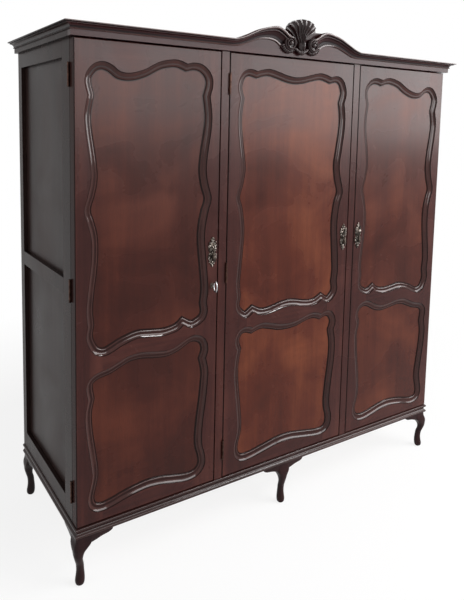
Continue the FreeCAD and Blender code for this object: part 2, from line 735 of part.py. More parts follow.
def door(side, start, width, inset, stile, openings):
    label = side.title()
    lap = " + %s + mouldingWidth - doorPanelLap" % inset
    carvings = []
    doorPanels = []
    for name, runs, foot, height in openings:
        rebateFoot = "doorFoot + " + foot + " + mouldingWidth - doorPanelLap"
        rebateHeight = height + " - 2 * (mouldingWidth - doorPanelLap)"
        rebateWidth = width + " - 2 * (" + inset + " + mouldingWidth - doorPanelLap)"
        rebate = box(label + name + "Rebate", (start + lap, "faceY + panelRecess", rebateFoot),
                     (rebateWidth, "doorThick", rebateHeight))
        carvings.append(fused(label + name + "Opening",
                              [openingCutter(label + name + "Moulding", runs), rebate]))
        panelStart = (start + lap + " + panelPlay", "faceY + panelRecess", rebateFoot + " + panelPlay")
        doorPanels.append(box(label + name + "Panel", panelStart,
                              (rebateWidth + " - 2 * panelPlay", "doorPanelThick",
                               rebateHeight + " - 2 * panelPlay")))
    left = sheetValue(start)
    right = left + sheetValue(width)
    slab = Part.makeBox(right - left, s.doorThick, s.doorHeight, Vector(left, s.faceY, s.doorFoot))
    front = [edge for edge in slab.Edges
             if all(abs(vertex.Y - s.faceY) < s.pinPlay for vertex in edge.Vertexes)]
    arris = feature(label + "Arris", slab.cut(slab.makeChamfer(s.doorArris, front)))
    tools = [arris, *carvings]
    lower, upper = openings
    lowerMiddle = "%s + %s / 2" % (lower[2], lower[3])
    upperMiddle = "%s + %s / 2" % (upper[2], upper[3])
    between = (start + " + " + stile, width + " - 2 * " + stile)
    members = {
        "HingeStile": (start, stile, "0 * doorHeight", "doorHeight"),
        "LockStile": (start + " + " + width + " - " + stile, stile, "0 * doorHeight", "doorHeight"),
        "BottomRail": (*between, "0 * doorHeight", lowerMiddle),
        "MiddleRail": (*between, lowerMiddle, upperMiddle + " - (" + lowerMiddle + ")"),
        "TopRail": (*between, upperMiddle, "doorHeight - (" + upperMiddle + ")"),
    }
    made = {}
    for name, (x, long, foot, height) in members.items():
        blank = box(label + name + "Board", (x, "faceY", "doorFoot + " + foot), (long, "doorThick", height))
        made[name] = cut(label + name, blank, *tools)
    rails = group(label + "Rails", [made["BottomRail"], made["MiddleRail"], made["TopRail"]])
    return made["HingeStile"], made["LockStile"], rails, group(label + "Panels", doorPanels)


def sheetValue(formula):
    value = 0
    for sign, name in re.findall(r"(-?)\s*([A-Za-z]\w*)", formula):
        value += (-1 if sign else 1) * getattr(s, name)
    return value


upperHeight = "doorHeight - upperOpeningFoot - upperOpeningHead"
middleUpperHeight = "doorHeight - middleUpperFoot - middleUpperHead"
sideCentre = -s.sideX + s.sideDoorLeaf / 2
sideHalf = s.sideDoorLeaf / 2 - s.sideOpeningInset
middleCentre = s.middleDoorX + s.middleDoorLeaf / 2
middleOpeningHalf = s.middleDoorLeaf / 2 - s.middleOpeningInset
sideOpenings = [
    ("Lower", placedRuns(sideLowerShares, sideCentre, sideHalf, s.doorFoot + s.lowerOpeningFoot,
                         s.lowerOpeningHeight, True), "lowerOpeningFoot", "lowerOpeningHeight"),
    ("Upper", placedRuns(sideUpperShares, sideCentre, sideHalf, s.doorFoot + s.upperOpeningFoot,
                         sheetValue(upperHeight), True), "upperOpeningFoot", "(" + upperHeight + ")"),
]
middleOpenings = [
    ("Lower", placedRuns(bothHalves(middleLowerShares), middleCentre, middleOpeningHalf,
                         s.doorFoot + s.middleLowerFoot, s.middleLowerHeight, False),
     "middleLowerFoot", "middleLowerHeight"),
    ("Upper", placedRuns(bothHalves(middleUpperShares), middleCentre, middleOpeningHalf,
                         s.doorFoot + s.middleUpperFoot, sheetValue(middleUpperHeight), False),
     "middleUpperFoot", "(" + middleUpperHeight + ")"),
]
hingeStile, lockStile, doorRails, doorPanels = door("left", "-sideX", "sideDoorLeaf", "sideOpeningInset",
                                                    "sideStileWidth", sideOpenings)
keyX = "-sideX + sideDoorLeaf - keyInset"
keyZ = "doorFoot + keyHeight"
keyhole = cylinder("Keyhole", "keyStemRadius + keyPlay", "escutcheonThick + doorThick + 2 * overrun",
                   (keyX, "faceY - escutcheonThick - overrun", keyZ), toBack)
node("left_door_hinge_stile", hingeStile)
node("left_door_lock_stile", cut("BoredLockStile", lockStile, keyhole))
node("left_door_rails", doorRails)
node("left_door_panels", doorPanels)
node("right_door_hinge_stile", mirrored("RightHingeStile", hingeStile))
node("right_door_lock_stile", mirrored("RightLockStile", lockStile))
node("right_door_rails", mirrored("RightRails", doorRails))
node("right_door_panels", mirrored("RightPanels", doorPanels))
for label, part in zip(("hinge_stile", "lock_stile", "rails", "panels"),
                       door("middle", "middleDoorX", "middleDoorLeaf", "middleOpeningInset",
                            "middleStileWidth", middleOpenings)):
    node("middle_door_" + label, part)

# Butt hinges that lift off: local X runs along the plates from the pin, and local Y from the door
# to the case
knuckleCount = 2
barrelSides = 12
knucklePitch = (s.hingeLength + s.barrelPlay) / knuckleCount
knuckleHigh = knucklePitch - s.barrelPlay
hingeFoot = Vector(0, 0, -s.hingeLength / 2)


def hingeLeaf(towards, knuckle):
    gap = s.hingeGap / 2
    near = -gap if towards < 0 else gap - s.plateThick
    tongueStart = (s.barrelRadius + s.pinRadius) / 2
    foot = hingeFoot + upward * (knuckle * knucklePitch)
    barrel = Part.Face(polygon(ring(foot, s.barrelRadius, barrelSides, Vector(1, 0, 0), toBack))).extrude(
        upward * knuckleHigh)
    tongue = Part.makeBox(s.barrelOffset - tongueStart, s.plateThick, knuckleHigh,
                          foot + Vector(tongueStart, near, 0))
    plate = Part.makeBox(s.plateWidth, s.plateThick, s.hingeLength,
                         hingeFoot + Vector(s.barrelOffset, near, 0))
    return plate.fuse([barrel, tongue])


pinFoot = hingeFoot + upward * (knuckleHigh / 2)
pinLength = knuckleHigh / 2 + s.pinReach
pin = Part.makeCylinder(s.pinRadius, pinLength, pinFoot, upward)
boreCorner = (s.pinRadius + s.pinPlay) / math.cos(math.pi / barrelSides)
bore = Part.Face(polygon(ring(pinFoot, boreCorner, barrelSides, toRight, toBack))).extrude(
    upward * (pinLength + s.barrelPlay))
doorLeaf = hingeLeaf(-1, 1).cut(bore)
caseLeaf = hingeLeaf(1, 0).fuse(pin)
hingeHeights = [s.doorFoot + s.hingeEnd, s.doorFoot + s.doorHeight / 2, s.doorTop - s.hingeEnd]


def hung(name, shape, x, y, turn):
    parts = []
    for index, height in enumerate(hingeHeights):
        part = feature("%s%d" % (name, index), shape)
        part.Placement = Placement(Vector(x, y, height), Rotation(upward, turn))
        parts.append(part)
    return group(name + "Set", parts)


sidePin = (-s.sideX - s.barrelOffset, s.faceY + s.doorThick + s.hingeGap / 2, 0)
middlePin = (-s.middleHalf + s.hingeGap / 2, s.faceY - s.barrelOffset, 90)
leftCaseLeaves = hung("LeftCaseLeaf", caseLeaf, *sidePin)
middleCaseLeaves = hung("MiddleCaseLeaf", caseLeaf, *middlePin)
node("carcass_hinge_leaves", group("CaseLeaves", [leftCaseLeaves, middleCaseLeaves,
                                                  mirrored("RightCaseLeaves", leftCaseLeaves)]))
leftDoorLeaves = node("left_door_hinge_leaves", hung("LeftDoorLeaf", doorLeaf, *sidePin))
node("middle_door_hinge_leaves", hung("MiddleDoorLeaf", doorLeaf, *middlePin))
node("right_door_hinge_leaves", mirrored("RightDoorLeaves", leftDoorLeaves))

# Lock on the back of the left door: a case, the bolt in its channel, and the key
caseX = "-sideX + sideDoorLeaf - lockEdge - lockWidth"
boltZ = "doorFoot + keyHeight + boltRise - boltHeight / 2"
boltY = "faceY + doorThick + lockDepth / 2 - boltDepth / 2"
lockBlank = box("LockBlank", (caseX, "faceY + doorThick", keyZ + " - lockHeight / 2"),
                ("lockWidth", "lockDepth", "lockHeight"))
lockBore = box("LockBore",
               (keyX + " - lockBoreHalf", "faceY + doorThick - overrun", keyZ + " - lockBoreHalf"),
               ("2 * lockBoreHalf", "lockDepth - lockWall + overrun", "2 * lockBoreHalf"))
boltChannel = box("BoltChannel", (caseX + " + lockWall", boltY + " - boltPlay", boltZ + " - boltPlay"),
                  ("lockWidth", "boltDepth + 2 * boltPlay", "boltHeight + 2 * boltPlay"))
node("lock_case", cut("LockCase", cut("BoredLock", lockBlank, lockBore), boltChannel))
node("lock_bolt", box("LockBolt", (caseX + " + lockWidth - boltLength", boltY, boltZ),
                      ("boltLength", "boltDepth", "boltHeight")))
keyFront = Vector(sheetValue(keyX), s.faceY - s.keyReach, sheetValue(keyZ))
shieldShares = [(0, 1.3), (0.5, 0.9), (1, 0.8), (0.8, 0), (1, -0.7), (0.4, -1), (0, -1.5)]
shieldRight = [keyFront + Vector(s.escutcheonRadius * out, s.keyReach, s.escutcheonRadius * up)
               for out, up in shieldShares]
shieldLeft = [Vector(2 * keyFront.x - point.x, point.y, point.z) for point in reversed(shieldRight[1:-1])]
shield = Part.Face(polygon(shieldRight + shieldLeft)).extrude(toFront * s.escutcheonThick)
node("keyhole_escutcheon", cut("Escutcheon", feature("Shield", shield), keyhole))
stemLength = s.keyReach + s.doorThick + s.lockDepth - 2 * s.lockWall
bowCentre = keyFront + toFront * s.keyBowOuter + toLeft * (s.keyBowThick / 2)
bowSides = 16
bowUp = upward * s.keyBowStretch
bow = Part.Face(polygon(ring(bowCentre, s.keyBowOuter, bowSides, toBack, bowUp))).cut(
    Part.Face(polygon(ring(bowCentre, s.keyBowInner, bowSides, toBack, bowUp)))).extrude(
        toRight * s.keyBowThick)
# the stem runs a little way into the bow's ring
stemStart = keyFront + toFront * ((s.keyBowOuter - s.keyBowInner) / 2)
stem = Part.makeCylinder(s.keyStemRadius, stemLength + (s.keyBowOuter - s.keyBowInner) / 2, stemStart, toBack)
bit = Part.makeBox(s.bitThick, s.bitWidth, s.bitReach,
                   keyFront + Vector(-s.bitThick / 2, stemLength - s.bitWidth, -s.bitReach))
node("key", feature("Key", stem.fuse([bow, bit])))

# Handles: a cast plate with two cheeks, and a drop that swings on the pin between them
plateShares = [(0, 1), (0.2, 0.9), (0.46, 0.84), (0.36, 0.7), (0.66, 0.56), (1, 0.36), (0.88, 0.16),
               (0.66, 0), (0.88, -0.16), (1, -0.36), (0.66, -0.56), (0.36, -0.7), (0.46, -0.84),
               (0.2, -0.9), (0, -1)]
# the drop from its shank down: radius share of its fullest, length share
dropShares = [(0.28, 0.06), (0.28, 0.3), (0.5, 0.33), (0.3, 0.4), (0.52, 0.52), (0.86, 0.7), (1, 0.84),
              (0.8, 0.95), (0.36, 1)]
dropSides = 10
eyeSides = 8


def handle(place):
    outline = [Vector(s.handleWidth / 2 * out, 0, s.handleLength / 2 * up) for out, up in plateShares]
    other = [Vector(-point.x, 0, point.z) for point in reversed(outline[1:-1])]
    shape = Part.Face(polygon([place + point for point in outline + other])).extrude(
        toFront * s.handlePlateThick)
    pivot = place + Vector(0, -s.handlePivotReach, s.handlePivotRise)
    pieces = []
    for start in (s.cheekGap / 2, -s.cheekGap / 2 - s.cheekThick):
        cheek = Part.Face(polygon(ring(pivot + toRight * start, s.cheekRadius, eyeSides, toBack, upward)))
        pieces.append(cheek.extrude(toRight * s.cheekThick))
        high = 2 * s.cheekRadius * math.cos(math.pi / eyeSides)
        pieces.append(Part.makeBox(s.cheekThick, s.handlePivotReach, high,
                                   pivot + Vector(start, 0, -high / 2)))
    pieces.append(Part.makeCylinder(s.handlePivotRadius, s.cheekGap + s.cheekThick,
                                    pivot + toLeft * ((s.cheekGap + s.cheekThick) / 2), toRight))
    eyeWidth = s.cheekGap - 2 * s.cheekPlay
    eyeStart = pivot + toLeft * (eyeWidth / 2)
    eye = Part.Face(polygon(ring(eyeStart, s.dropEyeRadius, eyeSides, toBack, upward))).extrude(
        toRight * eyeWidth)
    bore = Part.makeCylinder(s.handlePivotRadius + s.handlePivotPlay, eyeWidth, eyeStart, toRight)
    drop = facetLoft([ring(pivot - upward * (s.dropLength * down), s.dropRadius * out, dropSides,
                           toRight, toBack) for out, down in dropShares])
    return shape.fuse(pieces), eye.fuse(drop).cut(bore)


handleZ = s.doorFoot + s.handleHeight
leftHandle = handle(Vector(-s.sideX + s.sideDoorLeaf - s.handleInset, s.faceY, handleZ))
middleHandle = handle(Vector(s.middleDoorX + s.middleDoorLeaf - s.handleInset, s.faceY, handleZ))
for label, leftShape, middleShape in zip(("plate", "drop"), leftHandle, middleHandle):
    leftPart = node("left_handle_" + label, feature("LeftHandle" + label.title(), leftShape))
    node("middle_handle_" + label, feature("MiddleHandle" + label.title(), middleShape))
    node("right_handle_" + label, mirrored("RightHandle" + label.title(), leftPart))

doc.recompute()
for part in doc.Objects:
    if "Invalid" in part.State or "Error" in part.State:
        raise ValueError("%s did not recompute" % part.Label)
for part in nodes:
    if part.Shape.isNull() or not part.Shape.isValid() or not part.Shape.Solids:
        raise ValueError("%s has no valid solid" % part.Label)
os.makedirs("parts", exist_ok=True)
for part in nodes:
    part.Shape.exportStep("parts/%s.step" % part.Label)
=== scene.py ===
import math
import bpy
from mathutils import Matrix, Vector


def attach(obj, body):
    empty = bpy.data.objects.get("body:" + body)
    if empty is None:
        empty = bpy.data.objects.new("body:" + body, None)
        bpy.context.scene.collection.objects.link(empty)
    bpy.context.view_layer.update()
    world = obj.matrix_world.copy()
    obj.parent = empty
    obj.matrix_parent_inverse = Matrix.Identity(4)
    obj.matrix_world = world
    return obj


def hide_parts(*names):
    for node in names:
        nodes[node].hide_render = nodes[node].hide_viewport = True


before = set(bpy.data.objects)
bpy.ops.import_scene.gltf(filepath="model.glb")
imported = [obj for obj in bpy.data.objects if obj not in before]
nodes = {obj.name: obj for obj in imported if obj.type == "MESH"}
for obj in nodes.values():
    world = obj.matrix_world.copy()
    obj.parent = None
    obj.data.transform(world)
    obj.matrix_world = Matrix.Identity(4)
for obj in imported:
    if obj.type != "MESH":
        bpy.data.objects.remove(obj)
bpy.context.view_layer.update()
print("wardrobe: frame loaded,", len(nodes), "parts")

mm = 0.001
# a place this near a face, in millimetres, counts as on it
touch = 0.1

# the case, in millimetres: doors face -Y, the floor is at Z 0
case = {
    "halfWidth": 826,
    "face": -276,
    "back": 322,
    "legTop": 163,
    "doorFoot": 200,
    "doorTop": 1700,
    "corniceFoot": 1703,
    "corniceTop": 1742,
    "crestFront": -289,
}


# small helpers, used by every piece
def pick(*pieces):
    bpy.ops.object.select_all(action="DESELECT")
    for piece in pieces:
        piece.select_set(True)
    if pieces:
        bpy.context.view_layer.objects.active = pieces[0]


def editAll(piece):
    pick(piece)
    bpy.ops.object.mode_set(mode="EDIT")
    bpy.ops.mesh.select_mode(type="VERT")
    bpy.ops.mesh.select_all(action="SELECT")


def finishEdit():
    bpy.ops.object.mode_set(mode="OBJECT")


def keepAs(piece, name):
    piece.name = name
    piece.data.name = name
    return piece


def applyPlace():
    bpy.ops.object.transform_apply(location=True, rotation=True, scale=True)


def turnOutward(piece):
    editAll(piece)
    bpy.ops.mesh.normals_make_consistent(inside=False)
    finishEdit()


def addModifier(piece, name, kind, **settings):
    modifier = piece.modifiers.new(name, kind)
    for setting, value in settings.items():
        setattr(modifier, setting, value)


# a grid primitive laid over rows of places in millimetres, its seam merged and, where capped, its ends closed
def gridPiece(name, rows, capped=True):
    across = len(rows[0]) - 1
    along = len(rows) - 1
    pick()
    bpy.ops.mesh.primitive_grid_add(x_subdivisions=across, y_subdivisions=along, size=2, location=(0, 0, 0))
    piece = keepAs(bpy.context.object, name)
    for vertex in piece.data.vertices:
        column = round((vertex.co.x + 1) / 2 * across)
        row = round((vertex.co.y + 1) / 2 * along)
        vertex.co = Vector(rows[row][column]) * mm
    editAll(piece)
    bpy.ops.mesh.remove_doubles(threshold=1e-6)
    if capped:
        bpy.ops.mesh.select_all(action="SELECT")
        bpy.ops.mesh.fill_holes(sides=0)
    finishEdit()
    turnOutward(piece)
    return piece


# names the object just added and gives it its size and place, in millimetres, and its turn, in degrees
def setPlace(name, size, place, turn=(0, 0, 0)):
    piece = keepAs(bpy.context.object, name)
    piece.scale = [value * mm for value in size]
    piece.location = [value * mm for value in place]
    piece.rotation_euler = [math.radians(angle) for angle in turn]
    applyPlace()
    return piece


def boxPiece(name, low, high):
    pick()
    bpy.ops.mesh.primitive_cube_add(size=1, location=(0, 0, 0))
    return setPlace(name, [far - near for near, far in zip(low, high)],
                    [(far + near) / 2 for near, far in zip(low, high)])


def ballPiece(name, centre, radii, turn=(0, 0, 0), segments=24, rings=14):
    pick()
    bpy.ops.mesh.primitive_uv_sphere_add(segments=segments, ring_count=rings, radius=1, location=(0, 0, 0))
    return setPlace(name, radii, centre, turn)


# bevels the edges whose two ends and middle, in millimetres, pass the test
def bevelEdges(piece, wanted, width, segments=3):
    pick(piece)
    bpy.ops.object.mode_set(mode="EDIT")
    bpy.ops.mesh.select_mode(type="EDGE")
    bpy.ops.mesh.select_all(action="DESELECT")
    finishEdit()
    vertices = piece.data.vertices
    for edge in piece.data.edges:
        first, second = [vertices[index].co / mm for index in edge.vertices]
        edge.select = wanted(first) and wanted(second) and wanted((first + second) / 2)
    bpy.ops.object.mode_set(mode="EDIT")
    bpy.ops.mesh.bevel(offset=width * mm, segments=segments, affect="EDGES")
    finishEdit()


def join(name, pieces):
    pick(*pieces)
    bpy.ops.object.join()
    return keepAs(bpy.context.object, name)


def cutWith(piece, cutter):
    addModifier(piece, "cut", "BOOLEAN", operation="DIFFERENCE", solver="EXACT", object=cutter)
    pick(piece)
    bpy.ops.object.modifier_apply(modifier="cut")


def mirrorCopy(piece, name):
    pick(piece)
    bpy.ops.object.duplicate()
    other = keepAs(bpy.context.object, name)
    other.scale = (-1, 1, 1)
    applyPlace()
    turnOutward(other)
    return other


# one more material, for the faces that pass the test, given their middle in millimetres
def finishPart(piece, material, wanted):
    piece.data.materials.append(material)
    for face in piece.data.polygons:
        if wanted(face.center / mm):
            face.material_index = len(piece.data.materials) - 1


def smooth(piece, degrees=32):
    pick(piece)
    bpy.ops.object.shade_smooth_by_angle(angle=math.radians(degrees))


def dress(piece, body, slot, material, *replaced):
    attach(piece, body)
    if replaced:
        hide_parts(*replaced)
    if material:
        piece.data.materials.clear()
        piece.data.materials.append(material)


# the cosine and sine at each step of a full turn
def roundSteps(sides):
    return [(math.cos(2 * math.pi * side / sides), math.sin(2 * math.pi * side / sides))
            for side in range(sides + 1)]


# places on a smooth line through all the rows of a table
def smoothRows(rows, steps):
    before = tuple(2 * near - far for near, far in zip(rows[0], rows[1]))
    after = tuple(2 * near - far for near, far in zip(rows[-1], rows[-2]))
    padded = [before, *rows, after]
    places = []
    for index in range(1, len(padded) - 2):
        for step in range(steps):
            share = step / steps
            spot = []
            for a, b, c, d in zip(*padded[index - 1:index + 3]):
                spot.append(0.5 * (2 * b + (c - a) * share + (2 * a - 5 * b + 4 * c - d) * share ** 2
                                   + (3 * b - a - 3 * c + d) * share ** 3))
            places.append(tuple(spot))
    places.append(tuple(rows[-1]))
    return places


# sets the sockets of a node to values, or links them to the sockets of other nodes
def setInputs(tree, node, values):
    for socket, value in values.items():
        if isinstance(value, bpy.types.NodeSocket):
            tree.links.new(value, node.inputs[socket])
        else:
            node.inputs[socket].default_value = value


def addNode(tree, kind, values=None):
    node = tree.nodes.new("ShaderNode" + kind)
    setInputs(tree, node, values or {})
    return node


def newMaterial(name):
    material = bpy.data.materials.new(name)
    material.use_nodes = True
    return material, material.node_tree


def ramp(tree, source, stops):
    node = addNode(tree, "ValToRGB", {"Fac": source})
    elements = node.color_ramp.elements
    while len(elements) < len(stops):
        elements.new(0.5)
    for element, (spot, colour) in zip(elements, stops):
        element.position = spot
        element.color = (*colour, 1)
    return node.outputs["Color"]


# finishes
def wood(name, base, **changes):
    look = {**base, **changes}
    material, tree = newMaterial(name)
    place = addNode(tree, "TexCoord").outputs["Object"]

    def noise(along, across, detail, roughness, distortion=0.0):
        stretch = [along if axis == look["grain"] else across for axis in "xyz"]
        mapping = addNode(tree, "Mapping", {"Vector": place, "Scale": stretch, "Location": look["shift"]})
        texture = addNode(tree, "TexNoise", {"Vector": mapping.outputs["Vector"], "Scale": 1,
                                             "Detail": detail, "Roughness": roughness,
                                             "Distortion": distortion})
        return texture.outputs["Fac"]

    def blend(kind, first, second, factor):
        node = addNode(tree, "Mix")
        node.data_type = "RGBA"
        node.blend_type = kind
        setInputs(tree, node, {"Factor": factor, "A": first, "B": second})
        return node.outputs["Result"]

    bands = noise(look["bandAlong"], look["bandAcross"], detail=3, roughness=0.5, distortion=0.8)
    streaks = noise(look["bandAlong"] * 2, look["bandAcross"] * look["streakFineness"], detail=6,
                    roughness=0.65, distortion=0.3)
    mottle = noise(look["mottle"], look["mottle"] * 0.8, detail=4, roughness=0.55, distortion=0.6)
    pores = noise(look["poreAlong"], look["poreAcross"], detail=2, roughness=0.5)
    figure = blend("MIX", blend("MIX", bands, streaks, look["streakShare"]), mottle, look["mottleShare"])
    tone = ramp(tree, figure, list(zip((0.3, 0.48, 0.66), look["tones"])))
    poreTone = ramp(tree, pores, [(0.3, (0.45, 0.4, 0.4)), (0.46, (1, 1, 1))])
    gloss = ramp(tree, mottle, [(0.3, (look["rough"] * 0.8,) * 3), (0.7, (look["rough"] * 1.2,) * 3)])
    relief = addNode(tree, "Bump", {"Strength": look["bump"], "Distance": 0.0004,
                                    "Height": blend("MIX", pores, streaks, 0.4)})
    setInputs(tree, tree.nodes["Principled BSDF"], {
        "Base Color": blend("MULTIPLY", tone, poreTone, look["poreShare"]), "Roughness": gloss,
        "Normal": relief.outputs["Normal"], "Specular IOR Level": look["shine"], "Coat Weight": look["coat"],
        "Coat Roughness": look["coatRough"]})
    return material


def metal(name, dark, light, scale, rough, bump, spread=(0.35, 0.62)):
    material, tree = newMaterial(name)
    place = addNode(tree, "TexCoord").outputs["Object"]
    mottle = addNode(tree, "TexNoise", {"Vector": place, "Scale": scale, "Detail": 5}).outputs["Fac"]
    gloss = addNode(tree, "MapRange", {"Value": mottle, "To Min": rough + 0.12, "To Max": rough - 0.08})
    relief = addNode(tree, "Bump", {"Strength": bump, "Distance": 0.0003, "Height": mottle})
    setInputs(tree, tree.nodes["Principled BSDF"], {
        "Base Color": ramp(tree, mottle, list(zip(spread, (dark, light)))), "Metallic": 1,
        "Roughness": gloss.outputs["Result"], "Normal": relief.outputs["Normal"]})
    return material


# tones run from the dark bands to the light ones
frameTones = ((0.014, 0.003, 0.0026), (0.031, 0.0068, 0.0054), (0.062, 0.0165, 0.0116))
frameLook = {"bandAlong": 0.9, "bandAcross": 9, "streakFineness": 9, "streakShare": 0.38, "mottle": 4,
             "mottleShare": 0.3, "poreAlong": 38, "poreAcross": 950, "poreShare": 0.5, "rough": 0.27,
             "shine": 0.16, "coat": 0.03, "coatRough": 0.14, "bump": 0.12, "shift": (0, 0, 0),
             "tones": frameTones}
stileWood = wood("doorStileWood", frameLook, grain="z")
railWood = wood("doorRailWood", frameLook, grain="x", shift=(3, 0, 7))
panelLook = {**frameLook, "bandAlong": 1.1, "bandAcross": 7, "mottle": 4.5, "mottleShare": 0.5, "rough": 0.28}
panelTones = {
    "left": ((0.015, 0.0024, 0.0014), (0.034, 0.0056, 0.0028), (0.068, 0.0145, 0.0066)),
    "middle": ((0.025, 0.0038, 0.0018), (0.057, 0.01, 0.004), (0.114, 0.028, 0.01)),
    "right": ((0.019, 0.0028, 0.0015), (0.041, 0.0068, 0.003), (0.083, 0.0185, 0.0075)),
}
panelShifts = {"left": (0.4, 0, 0.3), "middle": (5.1, 0, 2.6), "right": (9.3, 0, 4.2)}
panelWoods = {side: wood(side + "PanelVeneer", panelLook, grain="z", shift=panelShifts[side], tones=tones)
              for side, tones in panelTones.items()}

caseTones = ((0.011, 0.0062, 0.0058), (0.02, 0.0115, 0.0105), (0.032, 0.018, 0.016))
caseLook = {**frameLook, "tones": caseTones, "shine": 0.03, "coat": 0.02}
caseUpright = wood("caseUprightWood", caseLook, grain="z")
returnWood = wood("returnWood", caseLook, grain="y")
sideVeneer = wood("sidePanelVeneer", caseLook, grain="z", mottleShare=0.4, shine=0.045, rough=0.34)
topTones = ((0.013, 0.0048, 0.0052), (0.029, 0.0105, 0.0112), (0.057, 0.0225, 0.023))
caseLevel = wood("caseLevelWood", frameLook, grain="x", shift=(1, 0, 5), tones=topTones, shine=0.11)
topWood = wood("unpolishedTop", frameLook, grain="x", rough=0.85, shine=0.02, coat=0.0)

mouldTones = ((0.012, 0.0045, 0.0042), (0.022, 0.0082, 0.0072), (0.038, 0.0145, 0.012))
mouldLook = {**frameLook, "tones": mouldTones, "rough": 0.3, "shine": 0.05, "coat": 0.08, "coatRough": 0.12}
mouldWood = wood("mouldingWood", mouldLook, grain="x")
baseWood = wood("baseMouldingWood", mouldLook, grain="x", coat=0.3, coatRough=0.08)
edgeWood = wood("doorEdgeWood", frameLook, grain="z", tones=mouldTones, shine=0.02, coat=0.0)
polishedTones = ((0.011, 0.0025, 0.0019), (0.026, 0.0056, 0.004), (0.048, 0.0118, 0.008))
polishedWood = wood("polishedMoulding", frameLook, grain="z", shift=(2, 0, 1), tones=polishedTones, rough=0.3,
                    shine=0.02, coat=0.55, coatRough=0.07, bump=0.05)
# painted shade: darker tones for the door mouldings' outer quirk and deep inner wall, where shade falls
shadedGrooveTones = ((0.005, 0.0018, 0.0016), (0.01, 0.0032, 0.0027), (0.018, 0.0058, 0.0045))
shadedGrooveWood = wood("paintedShadeGroove", frameLook, grain="z", tones=shadedGrooveTones, shine=0.02, coat=0.18,
                  coatRough=0.08)
# painted shade: darker tones for the cornice's coves, where shade falls
shadedCoveTones = ((0.006, 0.0034, 0.0038), (0.012, 0.0068, 0.0075), (0.022, 0.0122, 0.013))
shadedCoveWood = wood("paintedShadeCove", frameLook, grain="x", tones=shadedCoveTones, shine=0.05, coat=0.05)
beadWood = wood("polishedBead", frameLook, grain="x", rough=0.3, shine=0.4, coat=0.3, bump=0.05)

legTones = ((0.008, 0.0026, 0.0028), (0.014, 0.0044, 0.0046), (0.024, 0.0078, 0.0078))
legWood = wood("legWood", mouldLook, grain="z", tones=legTones, coat=0.24, coatRough=0.07, shine=0.02)
carvedWood = wood("carvedWood", mouldLook, grain="z", tones=legTones, shine=0.22, coat=0.4, coatRough=0.24)

plainTones = ((0.13, 0.062, 0.032), (0.2, 0.105, 0.055), (0.28, 0.155, 0.085))
plainLook = {**frameLook, "tones": plainTones, "coat": 0.0, "rough": 0.55}
insideUpright = wood("insideUprightWood", plainLook, grain="z")
insideLevel = wood("insideLevelWood", plainLook, grain="x")
backWood = wood("backBoardWood", plainLook, grain="z", mottleShare=0.5)

brass = metal("antiqueBrass", dark=(0.008, 0.006, 0.005), light=(0.42, 0.365, 0.325), scale=140, rough=0.28,
              bump=0.35, spread=(0.44, 0.6))
darkBrass = metal("darkenedBrass", dark=(0.01, 0.0075, 0.0065), light=(0.085, 0.068, 0.056), scale=240,
                  rough=0.42, bump=0.3)
hingeMetal = metal("agedHingeBrass", dark=(0.022, 0.011, 0.009), light=(0.07, 0.036, 0.027), scale=90,
                   rough=0.4, bump=0.15)
keyMetal = metal("keySteel", dark=(0.42, 0.42, 0.43), light=(0.72, 0.72, 0.72), scale=70, rough=0.25,
                 bump=0.08)
lockMetal = metal("lockIron", dark=(0.03, 0.03, 0.032), light=(0.1, 0.1, 0.105), scale=60, rough=0.45,
                  bump=0.2)
railMetal = metal("railSteel", dark=(0.4, 0.4, 0.41), light=(0.62, 0.62, 0.63), scale=40, rough=0.3,
                  bump=0.05)
print("wardrobe: finishes ready")

# Doors. Outlines run clockwise as seen from the front, in shares of the opening's box; the middle door's
# go from its middle line round its right half.
doors = {
    "moulding": [(0, -3), (0, 0), (0.4, 1.5), (1, 2.1), (2.2, 2.9), (4, 4.2), (6, 5.4), (8.5, 6.5), (11, 7.1),
                 (13.5, 7.3), (16, 7.3), (18, 7.5), (19.8, 8.1), (21.2, 9), (22.2, 10.2), (22.8, 11.3),
                 (23.2, 11.6), (26, 11.6), (26, 13)],
    "steps": 4,
    "thick": 34,
    "arris": 3,
    "recess": 12,
    "lap": 9,
    "moulded": 26,
    "railLaps": (90, 110, 100),
    "topRail": 130,
    "overrun": 5,
    "skin": 0.2,
    "endMargin": 8,
    # depths between which the door moulding gets no painted shade
    "shadeFreeDepths": (2.6, 9.4),
    "worn": (6.9, 7.6),
}
sideUpper = [
    [(0.778, 0.99), (0.834, 0.996), (0.901, 0.992), (0.957, 0.974), (0.991, 0.948), (0.996, 0.918),
     (0.975, 0.881)],
    [(0.975, 0.881), (0.993, 0.816), (0.987, 0.756), (0.962, 0.68), (0.951, 0.618), (0.969, 0.566),
     (1, 0.514), (0.975, 0.469), (0.953, 0.42), (0.946, 0.371), (0.957, 0.306), (0.975, 0.235),
     (0.984, 0.176), (0.973, 0.127)],
    [(0.973, 0.127), (0.982, 0.094), (0.96, 0.065), (0.901, 0.046), (0.834, 0.04), (0.771, 0.056)],
    [(0.771, 0.056), (0.722, 0.039), (0.61, 0.03), (0.498, 0.035), (0.397, 0.039), (0.285, 0.025),
     (0.206, 0.008), (0.143, 0), (0.076, 0.01), (0.034, 0.037), (0.011, 0.073), (0.022, 0.111)],
    [(0.022, 0.111), (0.013, 0.165), (0.025, 0.23), (0.043, 0.297), (0.052, 0.358), (0.047, 0.409),
     (0.025, 0.452), (0, 0.499), (0.029, 0.55), (0.049, 0.603), (0.038, 0.664), (0.013, 0.745),
     (0.004, 0.805), (0.027, 0.867)],
    [(0.027, 0.867), (0.007, 0.908), (0.022, 0.94), (0.072, 0.967), (0.139, 0.976), (0.202, 0.967),
     (0.262, 0.948), (0.341, 0.946), (0.442, 0.961), (0.543, 0.987), (0.637, 0.999), (0.711, 1),
     (0.778, 0.99)],
]
